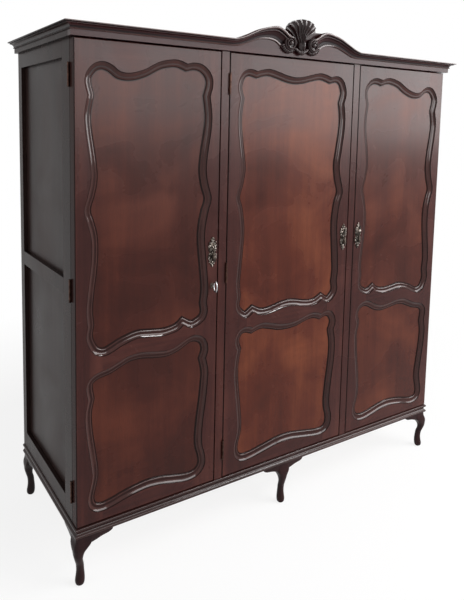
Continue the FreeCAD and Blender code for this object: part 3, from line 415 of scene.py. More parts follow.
sideLower = [
    [(0.022, 0.726), (0.009, 0.812), (0.045, 0.864), (0.105, 0.889), (0.179, 0.902), (0.251, 0.927),
     (0.33, 0.952), (0.43, 0.958), (0.543, 0.944), (0.643, 0.937), (0.722, 0.954), (0.8, 0.988),
     (0.868, 1), (0.939, 0.981), (0.982, 0.937), (0.993, 0.879), (0.973, 0.827)],
    [(0.973, 0.827), (0.996, 0.745), (0.993, 0.658), (0.98, 0.543), (0.962, 0.428), (0.948, 0.303),
     (0.953, 0.226), (0.973, 0.169), (0.984, 0.111), (0.969, 0.06), (0.919, 0.019), (0.845, 0.006),
     (0.771, 0.012), (0.688, 0.027), (0.599, 0.044), (0.498, 0.052), (0.408, 0.046), (0.307, 0.031),
     (0.217, 0.012), (0.139, 0.002), (0.076, 0.012), (0.031, 0.048), (0.018, 0.106), (0.031, 0.163),
     (0.049, 0.236), (0.045, 0.303), (0.027, 0.409), (0.009, 0.524), (0.002, 0.639), (0.022, 0.726)],
]
middleUpper = [
    [(0, 0.976), (0.138, 0.98), (0.296, 0.991), (0.454, 1), (0.572, 0.997), (0.679, 0.988)],
    [(0.679, 0.988), (0.769, 0.994), (0.868, 0.99), (0.947, 0.971), (0.994, 0.939), (0.998, 0.912),
     (0.963, 0.88)],
    [(0.963, 0.88), (0.994, 0.818), (0.986, 0.756), (0.947, 0.677), (0.915, 0.609), (0.947, 0.553),
     (1, 0.496), (0.955, 0.449), (0.923, 0.4), (0.911, 0.349), (0.927, 0.281), (0.951, 0.208),
     (0.966, 0.146), (0.947, 0.092)],
    [(0.947, 0.092), (0.966, 0.061), (0.931, 0.031), (0.84, 0.007), (0.75, 0.002), (0.651, 0.019)],
    [(0.651, 0.019), (0.552, 0.005), (0.426, 0), (0.276, 0.005), (0.138, 0.014), (0, 0.018)],
]
middleLower = [
    [(0, 0.959), (0.158, 0.965), (0.316, 0.986), (0.454, 1), (0.572, 0.994), (0.651, 0.981)],
    [(0.651, 0.981), (0.73, 0.994), (0.821, 0.992), (0.899, 0.969), (0.951, 0.922), (0.955, 0.877),
     (0.923, 0.834)],
    [(0.923, 0.834), (0.959, 0.741), (0.963, 0.634), (0.939, 0.517), (0.907, 0.39), (0.888, 0.283),
     (0.899, 0.214), (0.931, 0.16), (0.943, 0.107), (0.919, 0.055), (0.844, 0.016), (0.742, 0.002),
     (0.611, 0.006), (0.454, 0.019), (0.296, 0.033), (0.15, 0.045), (0, 0.049)],
]
doorPlans = {
    "left": {"start": -826, "leaf": 504, "inset": 29, "stile": 87,
             "openings": [(sideLower, 28, 520), (sideUpper, 538, 922)]},
    "middle": {"start": -286.7, "leaf": 573.7, "inset": 33.5, "stile": 93,
               "openings": [(middleLower, 30, 513), (middleUpper, 571, 885)]},
}


def wholeOutline(runs):
    left = [[(-across, up) for across, up in reversed(run)] for run in reversed(runs)]
    joined = [left[-1] + runs[0][1:], *runs[1:-1], runs[-1] + left[0][1:], *left[1:-1]]
    return [[((across + 1) / 2, up) for across, up in run] for run in joined]


def insetOutline(runs, distance):
    normals = []
    for run in runs:
        ways = [(Vector(after) - Vector(before)).normalized()
                for before, after in zip([run[0], *run[:-1]], [*run[1:], run[-1]])]
        normals.append([Vector((way.y, -way.x)) for way in ways])
    moved = []
    for index, run in enumerate(runs):
        others = [normals[index - 1][-1], *normals[index][1:-1], normals[(index + 1) % len(runs)][0]]
        moved.append([tuple(Vector(spot) + (normal + other) * (distance / (1 + normal.dot(other))))
                      for spot, normal, other in zip(run, normals[index], others)])
    return moved


def mouldedCutter(name, runs, left, width, foot, height):
    placed = [[(left + width * across, foot + height * up) for across, up in run] for run in runs]
    rows = []
    for inset, depth in doors["moulding"]:
        ring = []
        for run in insetOutline(placed, inset):
            ring += [(x, case["face"] + depth, z) for x, z in smoothRows(run, doors["steps"])[:-1]]
        rows.append([*ring, ring[0]])
    return gridPiece(name, rows)


def buildDoor(side, plan):
    face = case["face"]
    back = face + doors["thick"]
    start, end = plan["start"], plan["start"] + plan["leaf"]
    foot, top = case["doorFoot"], case["doorTop"]
    lowerFoot = plan["openings"][0][1]
    lowerTop = lowerFoot + plan["openings"][0][2]
    upperFoot = plan["openings"][1][1]
    inner = [start + plan["stile"], end - plan["stile"]]
    stiles = [boxPiece("stile", (start, face, foot), (inner[0], back, top)),
              boxPiece("stile", (inner[1], face, foot), (end, back, top))]
    bottomLap, underLap, overLap = doors["railLaps"]
    levels = ((foot, foot + lowerFoot + bottomLap), (foot + lowerTop - underLap, foot + upperFoot + overLap),
              (top - doors["topRail"], top))
    rails = [boxPiece("rail", (inner[0], face, low), (inner[1], back, high)) for low, high in levels]

    def isOuterEdge(spot):
        rim = (spot.x - start, end - spot.x, spot.z - foot, top - spot.z)
        return spot.y < face + touch and min(rim) < touch

    for blank in stiles + rails:
        bevelEdges(blank, isOuterEdge, doors["arris"])
    stilePiece = join(side + "DoorStiles", stiles)
    railPiece = join(side + "DoorRails", rails)
    edge = doors["moulded"] - doors["lap"]
    for runs, low, height in plan["openings"]:
        outline = wholeOutline(runs) if side == "middle" else runs
        left = start + plan["inset"]
        width = plan["leaf"] - 2 * plan["inset"]
        moulded = mouldedCutter("mouldedCutter", outline, left, width, foot + low, height)
        rebate = boxPiece("rebate", (left + edge, face + doors["recess"], foot + low + edge),
                          (left + width - edge, back + doors["overrun"], foot + low + height - edge))
        for piece in (stilePiece, railPiece):
            cutWith(piece, rebate)
            cutWith(piece, moulded)
        bpy.data.objects.remove(moulded)
        bpy.data.objects.remove(rebate)
    return stilePiece, railPiece


def isMoulded(spot):
    inner = case["doorFoot"] + doors["endMargin"] < spot.z < case["doorTop"] - doors["endMargin"]
    return inner and case["face"] + doors["skin"] < spot.y < case["face"] + doors["recess"] - touch


# the outer quirk and deep inner wall of the moulding, which get a painted shade
def isShadedGroove(spot):
    depth = spot.y - case["face"]
    return isMoulded(spot) and not doors["shadeFreeDepths"][0] <= depth <= doors["shadeFreeDepths"][1]


# the middle of the moulding, where the polish has gone dull
def isWorn(spot):
    return isMoulded(spot) and doors["worn"][0] < spot.y - case["face"] < doors["worn"][1]


def isSideEdge(spot):
    return abs(spot.x) > case["halfWidth"] - doors["skin"]


for side in ("left", "middle"):
    stilePiece, railPiece = buildDoor(side, doorPlans[side])
    pairs = [(side, stilePiece, railPiece)]
    if side == "left":
        pairs.append(("right", mirrorCopy(stilePiece, "rightDoorStiles"),
                      mirrorCopy(railPiece, "rightDoorRails")))
    for name, uprights, levels in pairs:
        for framing in (uprights, levels):
            smooth(framing)
            # flat faces stay flat beside their rounded edges
            addModifier(framing, "weightedNormals", "WEIGHTED_NORMAL", keep_sharp=True)
        dress(uprights, name + "_door", "door_frame_wood", stileWood, name + "_door_hinge_stile",
              name + "_door_lock_stile")
        dress(levels, name + "_door", "door_frame_wood", railWood, name + "_door_rails")
        for framing in (uprights, levels):
            for finish, wanted in ((polishedWood, isMoulded), (shadedGrooveWood, isShadedGroove), (mouldWood, isWorn),
                                   (edgeWood, isSideEdge)):
                finishPart(framing, finish, wanted)
print("wardrobe: door frames ready")

# Base moulding: two beads with a hollow between, mitred round three sides
baseMoulding = {"reach": 5, "height": 35, "inset": 6, "lowerBead": 6.5, "lowerArc": (-90, 60),
                "upperBead": 5.5, "upperArc": (-60, 90), "hollow": 4, "steps": 12}


def arc(out, up, radius, first, last, steps):
    angles = [math.radians(first + (last - first) * step / steps) for step in range(steps + 1)]
    return [(out + radius * math.cos(angle), up + radius * math.sin(angle)) for angle in angles]


def baseSection(look):
    reach, height, steps = look["reach"], look["height"], look["steps"]
    lowRadius, highRadius = look["lowerBead"], look["upperBead"]
    lower = arc(reach - lowRadius, lowRadius, lowRadius, *look["lowerArc"], steps)
    upper = arc(reach - highRadius, height - highRadius, highRadius, *look["upperArc"], steps)
    hollow = []
    for step in range(1, steps):
        share = step / steps
        out = lower[-1][0] + share * (upper[0][0] - lower[-1][0])
        up = lower[-1][1] + share * (upper[0][1] - lower[-1][1])
        hollow.append((out - look["hollow"] * math.sin(math.pi * share), up))
    return [(-look["inset"], 0), *lower, *hollow, *upper, (-look["inset"], height), (-look["inset"], 0)]


# the section carried along the left side, the front and the right side
def threeSides(section):
    x, y, back = case["halfWidth"], case["face"], case["back"]
    corners = ((-x, back, -1, 0), (-x, y, -1, -1), (x, y, 1, -1), (x, back, 1, 0))
    return [[(cornerX + turnX * out, cornerY + turnY * out, case["legTop"] + up) for out, up in section]
            for cornerX, cornerY, turnX, turnY in corners]


basePiece = gridPiece("baseMoulding", threeSides(baseSection(baseMoulding)))
smooth(basePiece)
dress(basePiece, "carcass", "dark_moulding", baseWood, "base_moulding")

# Cornice: the same moulding runs round the sides and along the front, then sweeps up as two necks
cornice = {
    "section": [(0, 0), (0.1, 0), (0.17, 0.02), (0.2, 0.08), (0.17, 0.14), (0.1, 0.16), (0.1, 0.21),
                (0.13, 0.23), (0.14, 0.33), (0.18, 0.44), (0.27, 0.54), (0.4, 0.61), (0.57, 0.65),
                (0.64, 0.66), (0.69, 0.69), (0.69, 0.73), (0.64, 0.76), (0.64, 0.8), (0.84, 0.8),
                (0.93, 0.82), (0.99, 0.87), (1, 0.92), (0.99, 0.97), (0.95, 1), (0, 1), (0, 0)],
    "reach": 24,
    "rise": 22,
    "proud": 13,
    "bandInset": 25,
    "span": 286,
    "lead": 40,
    "neckRise": 57,
    "neck": [(1, -0.386, 0), (0.892, -0.316, 0.175), (0.769, -0.088, 0.456), (0.647, 0.123, 0.72),
             (0.514, 0.211, 0.912), (0.392, 0.123, 1), (0.301, -0.158, 0.842), (0.231, -0.316, 0.6),
             (0.185, 0.07, 0.47)],
    "neckSteps": 6,
}


def corniceRows(look):
    section = [(out * look["reach"], up * look["rise"]) for out, up in look["section"]]
    foot = case["corniceTop"] - look["rise"]
    x = case["halfWidth"] + look["proud"]
    y = case["crestFront"]
    rows = [[(-x - out, case["back"], foot + up) for out, up in section],
            [(-x - out, y - out, foot + up) for out, up in section],
            [(-look["span"] - look["lead"], y - out, foot + up) for out, up in section]]
    for share, low, high in smoothRows(look["neck"], look["neckSteps"]):
        under = case["corniceTop"] + look["neckRise"] * low
        rise = look["neckRise"] * (high - low)
        rows.append([(-look["span"] * share, y - out * look["reach"], under + up * rise)
                     for out, up in look["section"]])
    return rows


def isTop(spot):
    return spot.z > case["corniceTop"] - touch


# finishes of the run, and the strips of its section that have another than the plain one; the cove strips
# carry a painted shade
corniceFinishes = [caseLevel, shadedCoveWood, beadWood, returnWood, topWood]
plain, cove, bead, sideReturn, level = range(len(corniceFinishes))
strips = [(1, 5, bead), (5, 9, cove), (16, 19, cove), (19, 23, bead), (23, 24, level)]
corniceRun = gridPiece("corniceRun", corniceRows(cornice))
for material in corniceFinishes:
    corniceRun.data.materials.append(material)
across = len(cornice["section"]) - 1
along = 2 + (len(cornice["neck"]) - 1) * cornice["neckSteps"] + 1
for face in corniceRun.data.polygons[:across * along]:
    isReturn = face.index < across
    kinds = [kind for low, high, kind in strips if low <= face.index % across < high]
    kind = kinds[0] if kinds else plain
    face.material_index = sideReturn if isReturn and kind in (plain, bead) else kind
bandFront = case["crestFront"] + cornice["bandInset"]
band = boxPiece("corniceBand", (-case["halfWidth"] - cornice["proud"], bandFront, case["corniceFoot"]),
                (-case["halfWidth"], case["back"], case["corniceTop"]))
band.data.materials.append(returnWood)
finishPart(band, topWood, isTop)
leftCornice = join("leftCornice", [corniceRun, band])
rightCornice = mirrorCopy(leftCornice, "rightCornice")

# Volutes: a disc with a rope that winds in from the neck to a round eye
volute = {
    "centre": (-53, 1748), "radius": 25, "depth": 19, "eye": 8.5, "eyeDepth": 8, "eyeSunk": 1, "sides": 48,
    "profile": [(1, 0), (1, 0.72), (0.96, 0.84), (0.86, 0.9), (0.6, 0.7), (0.3, 0.66), (0.02, 0.66)],
    "rope": 4.6, "ropeDepth": 0.92, "ropeSides": 12, "start": 105, "turns": 1.3, "steps": 56,
    "inwardShare": 0.55, "inwardPower": 1.3, "taperShare": 0.5, "reliefShare": 1.25,
}


def voluteParts(look):
    x, z = look["centre"]
    front = case["crestFront"]
    disc = [[(x + look["radius"] * out * across, front - look["depth"] * depth, z + look["radius"] * out * up)
             for across, up in roundSteps(look["sides"])] for out, depth in look["profile"]]
    rope = []
    for step in range(look["steps"] + 1):
        share = step / look["steps"]
        angle = math.radians(look["start"] - 360 * look["turns"] * share)
        wound = (look["radius"] - look["rope"]) * (1 - look["inwardShare"] * share ** look["inwardPower"])
        size = look["rope"] * (1 - look["taperShare"] * share)
        outward = Vector((math.cos(angle), 0, math.sin(angle)))
        spine = Vector((x, front - look["depth"] * look["ropeDepth"], z)) + outward * wound
        forward = Vector((0, -look["reliefShare"], 0))
        rope.append([tuple(spine + (outward * side + forward * rise) * size)
                     for side, rise in roundSteps(look["ropeSides"])])
    return [gridPiece("voluteDisc", disc), gridPiece("voluteRope", rope),
            ballPiece("voluteEye", (x, front - look["depth"] + look["eyeSunk"], z),
                      (look["eye"], look["eyeDepth"], look["eye"]))]


leftVolute = join("leftVolute", voluteParts(volute))
leftVolute.data.materials.append(carvedWood)
rightVolute = mirrorCopy(leftVolute, "rightVolute")
cornicePiece = join("corniceMoulding", [leftCornice, rightCornice, leftVolute, rightVolute])
smooth(cornicePiece, degrees=34)
dress(cornicePiece, "carcass", "dark_moulding", None, "cornice_front", "cornice_returns")
print("wardrobe: mouldings ready")

# Shell: hollow flutes between nine ridges that rise straight from the waist and flare to a scalloped rim
shell = {
    "foot": 1742, "halfWidth": 67, "height": 92, "sideHeight": 56, "turn": 84, "waist": 15, "bend": 19,
    "bendHeight": 46, "sideBendShare": 0.75, "ridges": 9, "depth": 32, "least": 2, "fallShare": 0.74,
    "fallPower": 2.4, "flute": 8, "flutePower": 0.8, "fluteRootShare": 0.3, "fluteFadeShare": 0.35,
    "scallop": 2, "across": 144, "along": 30, "depthSteps": 8,
    "depthShares": [(0.8,), (0.66,), (0.6,), (0.74,), (0.98,), (0.86,)],
}


def shellRows(look):
    depths = [row[0] for row in smoothRows(look["depthShares"], look["depthSteps"])]
    limit = math.radians(look["turn"])
    rows = []
    for line in range(look["along"] + 1):
        far = line / look["along"]
        middle = 2 * far * (1 - far)
        thick = look["depth"] * depths[round(far * (len(depths) - 1))]
        row = []
        for step in range(look["across"] + 1):
            side = 2 * step / look["across"] - 1
            turn = limit * side
            hollow = abs(math.sin(math.pi * (look["ridges"] - 1) * (side + 1) / 2)) ** look["flutePower"]
            rise = (math.cos(turn) - math.cos(limit)) / (1 - math.cos(limit))
            rimX = look["halfWidth"] * math.sin(turn) / math.sin(limit)
            rimZ = look["sideHeight"] + (look["height"] - look["sideHeight"]) * rise
            rimZ += look["scallop"] * (hollow - 1)
            bendZ = look["bendHeight"] * (look["sideBendShare"] + (1 - look["sideBendShare"]) * rise)
            x = (1 - far) ** 2 * look["waist"] * side + middle * look["bend"] * side + far ** 2 * rimX
            z = look["foot"] + middle * bendZ + far ** 2 * rimZ
            depth = thick * (1 - look["fallShare"] * abs(side) ** look["fallPower"])
            fade = 1 - look["fluteFadeShare"] * abs(side)
            depth -= look["flute"] * hollow * min(1, look["fluteRootShare"] + far) * fade
            row.append((x, case["crestFront"] - max(depth, look["least"]), z))
        rows.append(row)
    return rows


shellFront = gridPiece("shellFront", shellRows(shell), capped=False)
editAll(shellFront)
bpy.ops.mesh.extrude_region_move(TRANSFORM_OT_translate={"value": (0, 0, 0)})
finishEdit()
for vertex in shellFront.data.vertices:
    if vertex.select:
        vertex.co.y = case["crestFront"] * mm
turnOutward(shellFront)

# Leaves round the shell: a bud at its waist, an upturned fan below it and a frill under each volute
carving = {
    "waist": ((0, 8, 1742), (18, 17, 17)),
    "bud": ((0, 22, 1744), (6, 9, 16)),
    "fan": {"lobes": 9, "spread": 19.5, "reach": (25, 13), "out": (8, 4), "top": 1733, "size": (4.6, 7, 11)},
    "frill": {"lobes": 9, "centre": (53, 1748), "reach": 28, "out": 5, "first": 196, "last": 306,
              "size": (4.4, 8, 8.5), "growth": (0.7, 0.6)},
}
front = case["crestFront"]
parts = [shellFront]
for name in ("waist", "bud"):
    (x, depth, z), radii = carving[name]
    parts.append(ballPiece(name, (x, front - depth, z), radii))
fan = carving["fan"]
for index in range(fan["lobes"]):
    turn = (index - (fan["lobes"] - 1) / 2) * fan["spread"]
    swing = math.radians(turn)
    place = (math.sin(swing) * fan["reach"][0], front - fan["out"][0] - math.cos(swing) * fan["out"][1],
             fan["top"] - math.cos(swing) * fan["reach"][1])
    parts.append(ballPiece("fanLobe", place, fan["size"], (0, turn, 0), segments=18, rings=12))
frill = carving["frill"]
width, depth, length = frill["size"]
for side in (-1, 1):
    for index in range(frill["lobes"]):
        share = index / (frill["lobes"] - 1)
        angle = math.radians(frill["last"] + (frill["first"] - frill["last"]) * share)
        place = (side * (frill["centre"][0] - math.cos(angle) * frill["reach"]), front - frill["out"],
                 frill["centre"][1] + math.sin(angle) * frill["reach"])
        grown = length * (frill["growth"][0] + frill["growth"][1] * share)
        turn = (0, side * (math.degrees(angle) - 270), 0)
        parts.append(ballPiece("frillLeaf", place, (width, depth, grown), turn, segments=16, rings=10))
shellPiece = join("shellCarving", parts)
smooth(shellPiece, degrees=75)
dress(shellPiece, "carcass", "carving_wood", carvedWood, "shell_carving")
print("wardrobe: carving ready")

# Cabriole legs: height share, size, how far the middle lies in, corner roundness
legs = {
    "size": 56,
    "rows": [(1, 1, 0.5, 0.12), (0.914, 1.02, 0.482, 0.15), (0.834, 0.98, 0.375, 0.2),
             (0.773, 0.82, 0.26, 0.28), (0.712, 0.66, 0.188, 0.36), (0.638, 0.554, 0.152, 0.42),
             (0.54, 0.464, 0.18, 0.46), (0.43, 0.446, 0.268, 0.48), (0.307, 0.446, 0.304, 0.48),
             (0.196, 0.5, 0.304, 0.48), (0.098, 0.545, 0.277, 0.48), (0.031, 0.482, 0.268, 0.48),
             (0, 0.32, 0.277, 0.48)],
    "steps": 4,
    "cornerSteps": 6,
}


def roundedSquare(x, y, z, size, radius):
    flat = size / 2 - radius
    ring = []
    for quarter in range(4):
        for step in range(legs["cornerSteps"] + 1):
            angle = math.radians(90 * quarter + 90 * step / legs["cornerSteps"])
            cornerX = flat if quarter in (0, 3) else -flat
            cornerY = flat if quarter in (0, 1) else -flat
            ring.append((x + cornerX + radius * math.cos(angle), y + cornerY + radius * math.sin(angle), z))
    return [*ring, ring[0]]


def legPiece(x, y, inX, inY):
    rows = []
    for height, size, inward, corner in smoothRows(legs["rows"], legs["steps"]):
        width = legs["size"] * size
        swing = legs["size"] * inward
        rows.append(roundedSquare(x + inX * swing, y + inY * swing, max(case["legTop"] * height, 0), width,
                                  width * corner))
    return gridPiece("leg", rows)


half = case["halfWidth"]
rearY = case["back"] - legs["size"] / 2
legPlaces = {"front": [(-half, case["face"], 1, 1), (0, case["face"], 0, 1), (half, case["face"], -1, 1)],
             "rear": [(-half, rearY, 1, 0), (half, rearY, -1, 0)]}
for row, places in legPlaces.items():
    standing = join(row + "Legs", [legPiece(*place) for place in places])
    smooth(standing, degrees=40)
    dress(standing, "carcass", "leg_wood", legWood, row + "_legs")

# Bracket ears beside the legs: an ogee from the tip down to the leg
ears = {"shares": [(1, 0.11), (0.96, 0.27), (0.8, 0.45), (0.6, 0.54), (0.4, 0.63), (0.19, 0.79), (-0.14, 1)],
        "rootShare": -0.3, "length": 66, "drop": 27, "thick": 20, "edge": 1.6, "edgeShare": 0.3, "steps": 5}


def earPiece(corner, along, inward):
    top = case["legTop"]
    edge = ears["edge"]
    line = [(1, 0), *smoothRows(ears["shares"], ears["steps"]), (ears["rootShare"], 1)]
    rows = []
    for depth, shrink in ((0, edge), (edge * ears["edgeShare"], edge * ears["edgeShare"]), (edge, 0),
                          (ears["thick"], 0)):
        row = []
        for out, down in line:
            reach = legs["size"] + ears["length"] * out - shrink
            low = ears["drop"] * down - shrink
            row.append((corner[0] + along[0] * reach + inward[0] * depth,
                        corner[1] + along[1] * reach + inward[1] * depth, top - max(low, 0)))
        rows.append([*row, (row[-1][0], row[-1][1], top), (row[0][0], row[0][1], top), row[0]])
    return gridPiece("ear", rows)


earPieces = []
for side in (-1, 1):
    corner = (side * half, case["face"])
    earPieces += [earPiece(corner, (-side, 0), (0, 1)), earPiece(corner, (0, 1), (-side, 0)),
                  earPiece((side * half, case["back"]), (0, -1), (-side, 0)),
                  earPiece((-side * legs["size"] / 2, case["face"]), (side, 0), (0, 1))]
legEars = join("legEars", earPieces)
smooth(legEars, degrees=40)
dress(legEars, "carcass", "leg_wood", legWood, "leg_ears")
print("wardrobe: legs ready")

# Handles: a cast plate of scrolls and leaves, and a drop that hangs from the pin between its cheeks
handle = {
    "height": 1029, "pivotRise": 18, "pivotReach": 10, "plateThick": 1.8, "recessed": 0.9,
    "places": {"left": -345, "middle": 264, "right": 345},
    "outline": [(0, 52.5), (3.5, 47.3), (8, 44), (6.3, 36.8), (11.6, 29.4), (17.3, 19), (15.4, 8.4),
                (11.6, 0), (15.4, -8.4), (17.3, -19), (11.6, -29.4), (6.3, -36.8), (8, -44), (3.5, -47.3),
                (0, -52.5)],
    "outlineSteps": 4, "rimShares": [(0, 1), (0.6, 1), (1, 0.95)], "tipShare": 0.3,
    "scrolls": [(8.6, 25, 6.6, 100, -330, 1.7), (9.2, 8, 5.4, -80, 300, 1.5), (9, -11, 6, 90, -330, 1.7),
                (7.6, -27, 5.4, -100, 320, 1.6), (4.2, 39.5, 3.2, -60, 260, 1.2),
                (4.2, -40.5, 3, 60, -260, 1.2)],
    "scrollSteps": 22, "scrollLift": 0.2, "scrollRise": 1.2, "scrollEnd": (1.7, 1.9, 1.7), "windShare": 0.62,
    "thinShare": 0.55, "swellShare": 0.15,
    "leaves": [(0, 47.5, 2.2, 5.2, 0), (0, 36, 2.2, 6, 0), (0, -47.5, 2.2, 5, 0), (0, -34, 2.4, 6.5, 0),
               (13.5, 17, 2, 6.2, -32), (13.5, -19.5, 2, 6.2, 30), (4.6, 31, 1.5, 4.6, 38),
               (4.8, -20, 1.6, 5, -35), (11.6, 33, 1.5, 4, -50), (11.4, -33.5, 1.5, 4, 50), (0, 3, 3, 7, 0),
               (0, -13, 2.4, 6.5, 0), (5.4, 15, 1.5, 4.4, -20), (5.2, -5, 1.5, 4.4, 24)],
    "leafDepth": 2.3, "leafLift": 0.3,
    "cheek": (2.5, 4.7), "cheekHalf": 3.3, "cheekRadius": 3.6, "cheekFoot": 0.5, "pin": 5.3, "pinRadius": 1.3,
    "drop": [(1.7, 2), (1.7, 11), (2.2, 12.4), (3.6, 13.6), (3.6, 15), (2, 16.6), (2.2, 19), (3.4, 24),
             (5, 30), (6.2, 35.5), (6.5, 39.5), (6, 43), (4.4, 45.8), (2.4, 47.3), (0.3, 48)],
    "dropSides": 24, "eyeRadius": 2.5, "eyeWire": 1.05, "dropLeaf": (1.5, 1.5, 7.5), "dropLeafOut": 4.4,
    "dropLeafDown": 33,
}


# a tube along a row of places, in millimetres, with a radius at each
def tubePiece(name, spine, radii, across, sides=10):
    rows = []
    for index, spot in enumerate(spine):
        way = (spine[min(index + 1, len(spine) - 1)] - spine[max(index - 1, 0)]).normalized()
        other = way.cross(across).normalized()
        rows.append([tuple(spot + across * (radii[index] * near) + other * (radii[index] * far))
                     for near, far in roundSteps(sides)])
    return gridPiece(name, rows)


def handlePlate(look):
    face, z = case["face"], look["height"]
    half = smoothRows(look["outline"], look["outlineSteps"])
    outline = half + [(-x, up) for x, up in reversed(half[1:-1])] + [half[0]]
    rows = []
    for depth, shrink in look["rimShares"]:
        tall = 1 - (1 - shrink) * look["tipShare"]
        rows.append([(x * shrink, face - look["plateThick"] * depth, z + up * tall) for x, up in outline])
    parts = [gridPiece("plateBlank", rows)]
    depth = face - look["plateThick"]
    pinY, pinZ = face - look["pivotReach"], z + look["pivotRise"]
    outward, upward = Vector((0, -1, 0)), Vector((0, 0, 1))
    for mirror in (1, -1):
        for x, up, radius, first, sweep, size in look["scrolls"]:
            spine, radii = [], []
            for step in range(look["scrollSteps"] + 1):
                share = step / look["scrollSteps"]
                angle = math.radians(first + sweep * share)
                wound = radius * (1 - look["windShare"] * share)
                lift = look["scrollLift"] + share * look["scrollRise"]
                spine.append(Vector((mirror * (x + wound * math.cos(angle)), depth - lift,
                                     z + up + wound * math.sin(angle))))
                swell = math.sin(math.pi * (look["swellShare"] + (1 - look["swellShare"]) * share))
                radii.append(size * (look["thinShare"] + (1 - look["thinShare"]) * swell))
            parts.append(tubePiece("plateScroll", spine, radii, outward, sides=8))
            end = spine[-1] + outward * look["scrollLift"]
            parts.append(ballPiece("scrollEnd", end, look["scrollEnd"], segments=12, rings=8))
        for x, up, width, length, turn in look["leaves"]:
            if mirror == -1 and x == 0:
                continue
            parts.append(ballPiece("plateLeaf", (mirror * x, depth - look["leafLift"], z + up),
                                   (width, look["leafDepth"], length), (0, -mirror * turn, 0),
                                   segments=12, rings=8))
        inner, outer = [mirror * reach for reach in look["cheek"]]
        parts.append(boxPiece("cheek", (min(inner, outer), pinY, pinZ - look["cheekHalf"]),
                              (max(inner, outer), face - look["cheekFoot"], pinZ + look["cheekHalf"])))
        parts.append(tubePiece("cheekEnd", [Vector((inner, pinY, pinZ)), Vector((outer, pinY, pinZ))],
                               [look["cheekRadius"]] * 2, upward, sides=20))
    pinEnds = [Vector((-look["pin"], pinY, pinZ)), Vector((look["pin"], pinY, pinZ))]
    parts.append(tubePiece("pivotPin", pinEnds, [look["pinRadius"]] * 2, upward, sides=16))
    piece = join("handlePlate", parts)
    smooth(piece, degrees=45)
    return piece


def handleDrop(look):
    y, z = case["face"] - look["pivotReach"], look["height"] + look["pivotRise"]
    pick()
    bpy.ops.mesh.primitive_torus_add(major_radius=look["eyeRadius"] * mm, minor_radius=look["eyeWire"] * mm,
                                     major_segments=24, minor_segments=12, rotation=(0, math.radians(90), 0),
                                     location=(0, y * mm, z * mm))
    eye = bpy.context.object
    applyPlace()
    body = [[(radius * near, y + radius * far, z - down) for near, far in roundSteps(look["dropSides"])]
            for radius, down in look["drop"]]
    parts = [eye, gridPiece("dropBody", body)]
    for turn in range(4):
        angle = math.radians(45 + 90 * turn)
        out = look["dropLeafOut"]
        place = (out * math.cos(angle), y + out * math.sin(angle), z - look["dropLeafDown"])
        parts.append(ballPiece("dropLeaf", place, look["dropLeaf"], segments=12, rings=8))
    piece = join("handleDrop", parts)
    smooth(piece, degrees=45)
    return piece


def movedCopy(piece, name, x):
    pick(piece)
    bpy.ops.object.duplicate()
    other = keepAs(bpy.context.object, name)
    other.location = (x * mm, 0, 0)
    applyPlace()
    return other


# the ground of the plate, which is darker than its ornament
def isGround(spot):
    return spot.y > case["face"] - handle["plateThick"] - handle["recessed"]


platePattern = handlePlate(handle)
dropPattern = handleDrop(handle)
for side, x in handle["places"].items():
    plate = movedCopy(platePattern, side + "HandlePlate", x)
    drop = movedCopy(dropPattern, side + "HandleDrop", x)
    dress(plate, side + "_door", "antique_brass", brass, side + "_handle_plate")
    finishPart(plate, darkBrass, isGround)
    dress(drop, side + "_handle", "antique_brass", darkBrass, side + "_handle_drop")
bpy.data.objects.remove(platePattern)
bpy.data.objects.remove(dropPattern)

# Key: an oval bow, a collar and a stem that runs through the door to its bit
key = {
    "x": -344, "z": 912, "bowCentre": 23, "bowRadius": 9.4, "bowStretch": 1.8, "wire": 2.1, "sides": 20,
    "stem": [(1, 15.5), (2.6, 14.6), (3.4, 13.2), (2.4, 11.6), (2.2, 10.4), (3, 9), (2.2, 7.6), (2.2, -42),
             (1.6, -42.5)],
    "bitHalf": 1, "bitDepths": (36, 42), "bitDrop": 9.2,
}
x, y, z = key["x"], case["face"], key["z"]
pick()
bpy.ops.mesh.primitive_torus_add(major_radius=key["bowRadius"] * mm, minor_radius=key["wire"] * mm,
                                 major_segments=48, minor_segments=14, rotation=(0, math.radians(90), 0))
bow = bpy.context.object
bow.scale = (key["bowStretch"], 1, 1)
bow.location = (x * mm, (y - key["bowCentre"]) * mm, z * mm)
applyPlace()
stem = gridPiece("keyStem", [[(x + radius * near, y - out, z + radius * far)
                              for near, far in roundSteps(key["sides"])] for radius, out in key["stem"]])
bit = boxPiece("keyBit", (x - key["bitHalf"], y + key["bitDepths"][0], z - key["bitDrop"]),
               (x + key["bitHalf"], y + key["bitDepths"][1], z))
keyPiece = join("cupboardKey", [bow, stem, bit])
smooth(keyPiece, degrees=40)
dress(keyPiece, "key", "key_steel", keyMetal, "key")
print("wardrobe: handles and key ready")

# The remaining parts keep their own shape, with softened edges: finish, edge width and parts
hung = ("carcass", "left_door", "middle_door", "right_door")
kept = [
    (insideLevel, 0.6, ["floor_board"]), (caseLevel, 0.6, ["top_rail"]), (caseLevel, 0, ["crest_board"]),
    (insideLevel, 0.8, ["base_frame", "fixed_shelves", "hat_shelves", "shelf_battens"]),
    (insideUpright, 0.8, ["rail_cleats"]), (insideUpright, 0.6, ["left_partition", "right_partition"]),
    (topWood, 0.6, ["top_board"]), (backWood, 0, ["back_panels"]),
    (stileWood, 1, ["left_mullion", "right_mullion"]),
    (caseUpright, 1, ["left_side_frame", "right_side_frame"]),
    (sideVeneer, 0, ["left_side_panels", "right_side_panels"]),
    *[(veneer, 0, [side + "_door_panels"]) for side, veneer in panelWoods.items()],
    (hingeMetal, 0.2, [owner + "_hinge_leaves" for owner in hung]),
    (darkBrass, 0.3, ["keyhole_escutcheon"]), (lockMetal, 0.5, ["lock_case"]), (keyMetal, 0.3, ["lock_bolt"]),
    (railMetal, 0, ["hanging_rails"]),
]
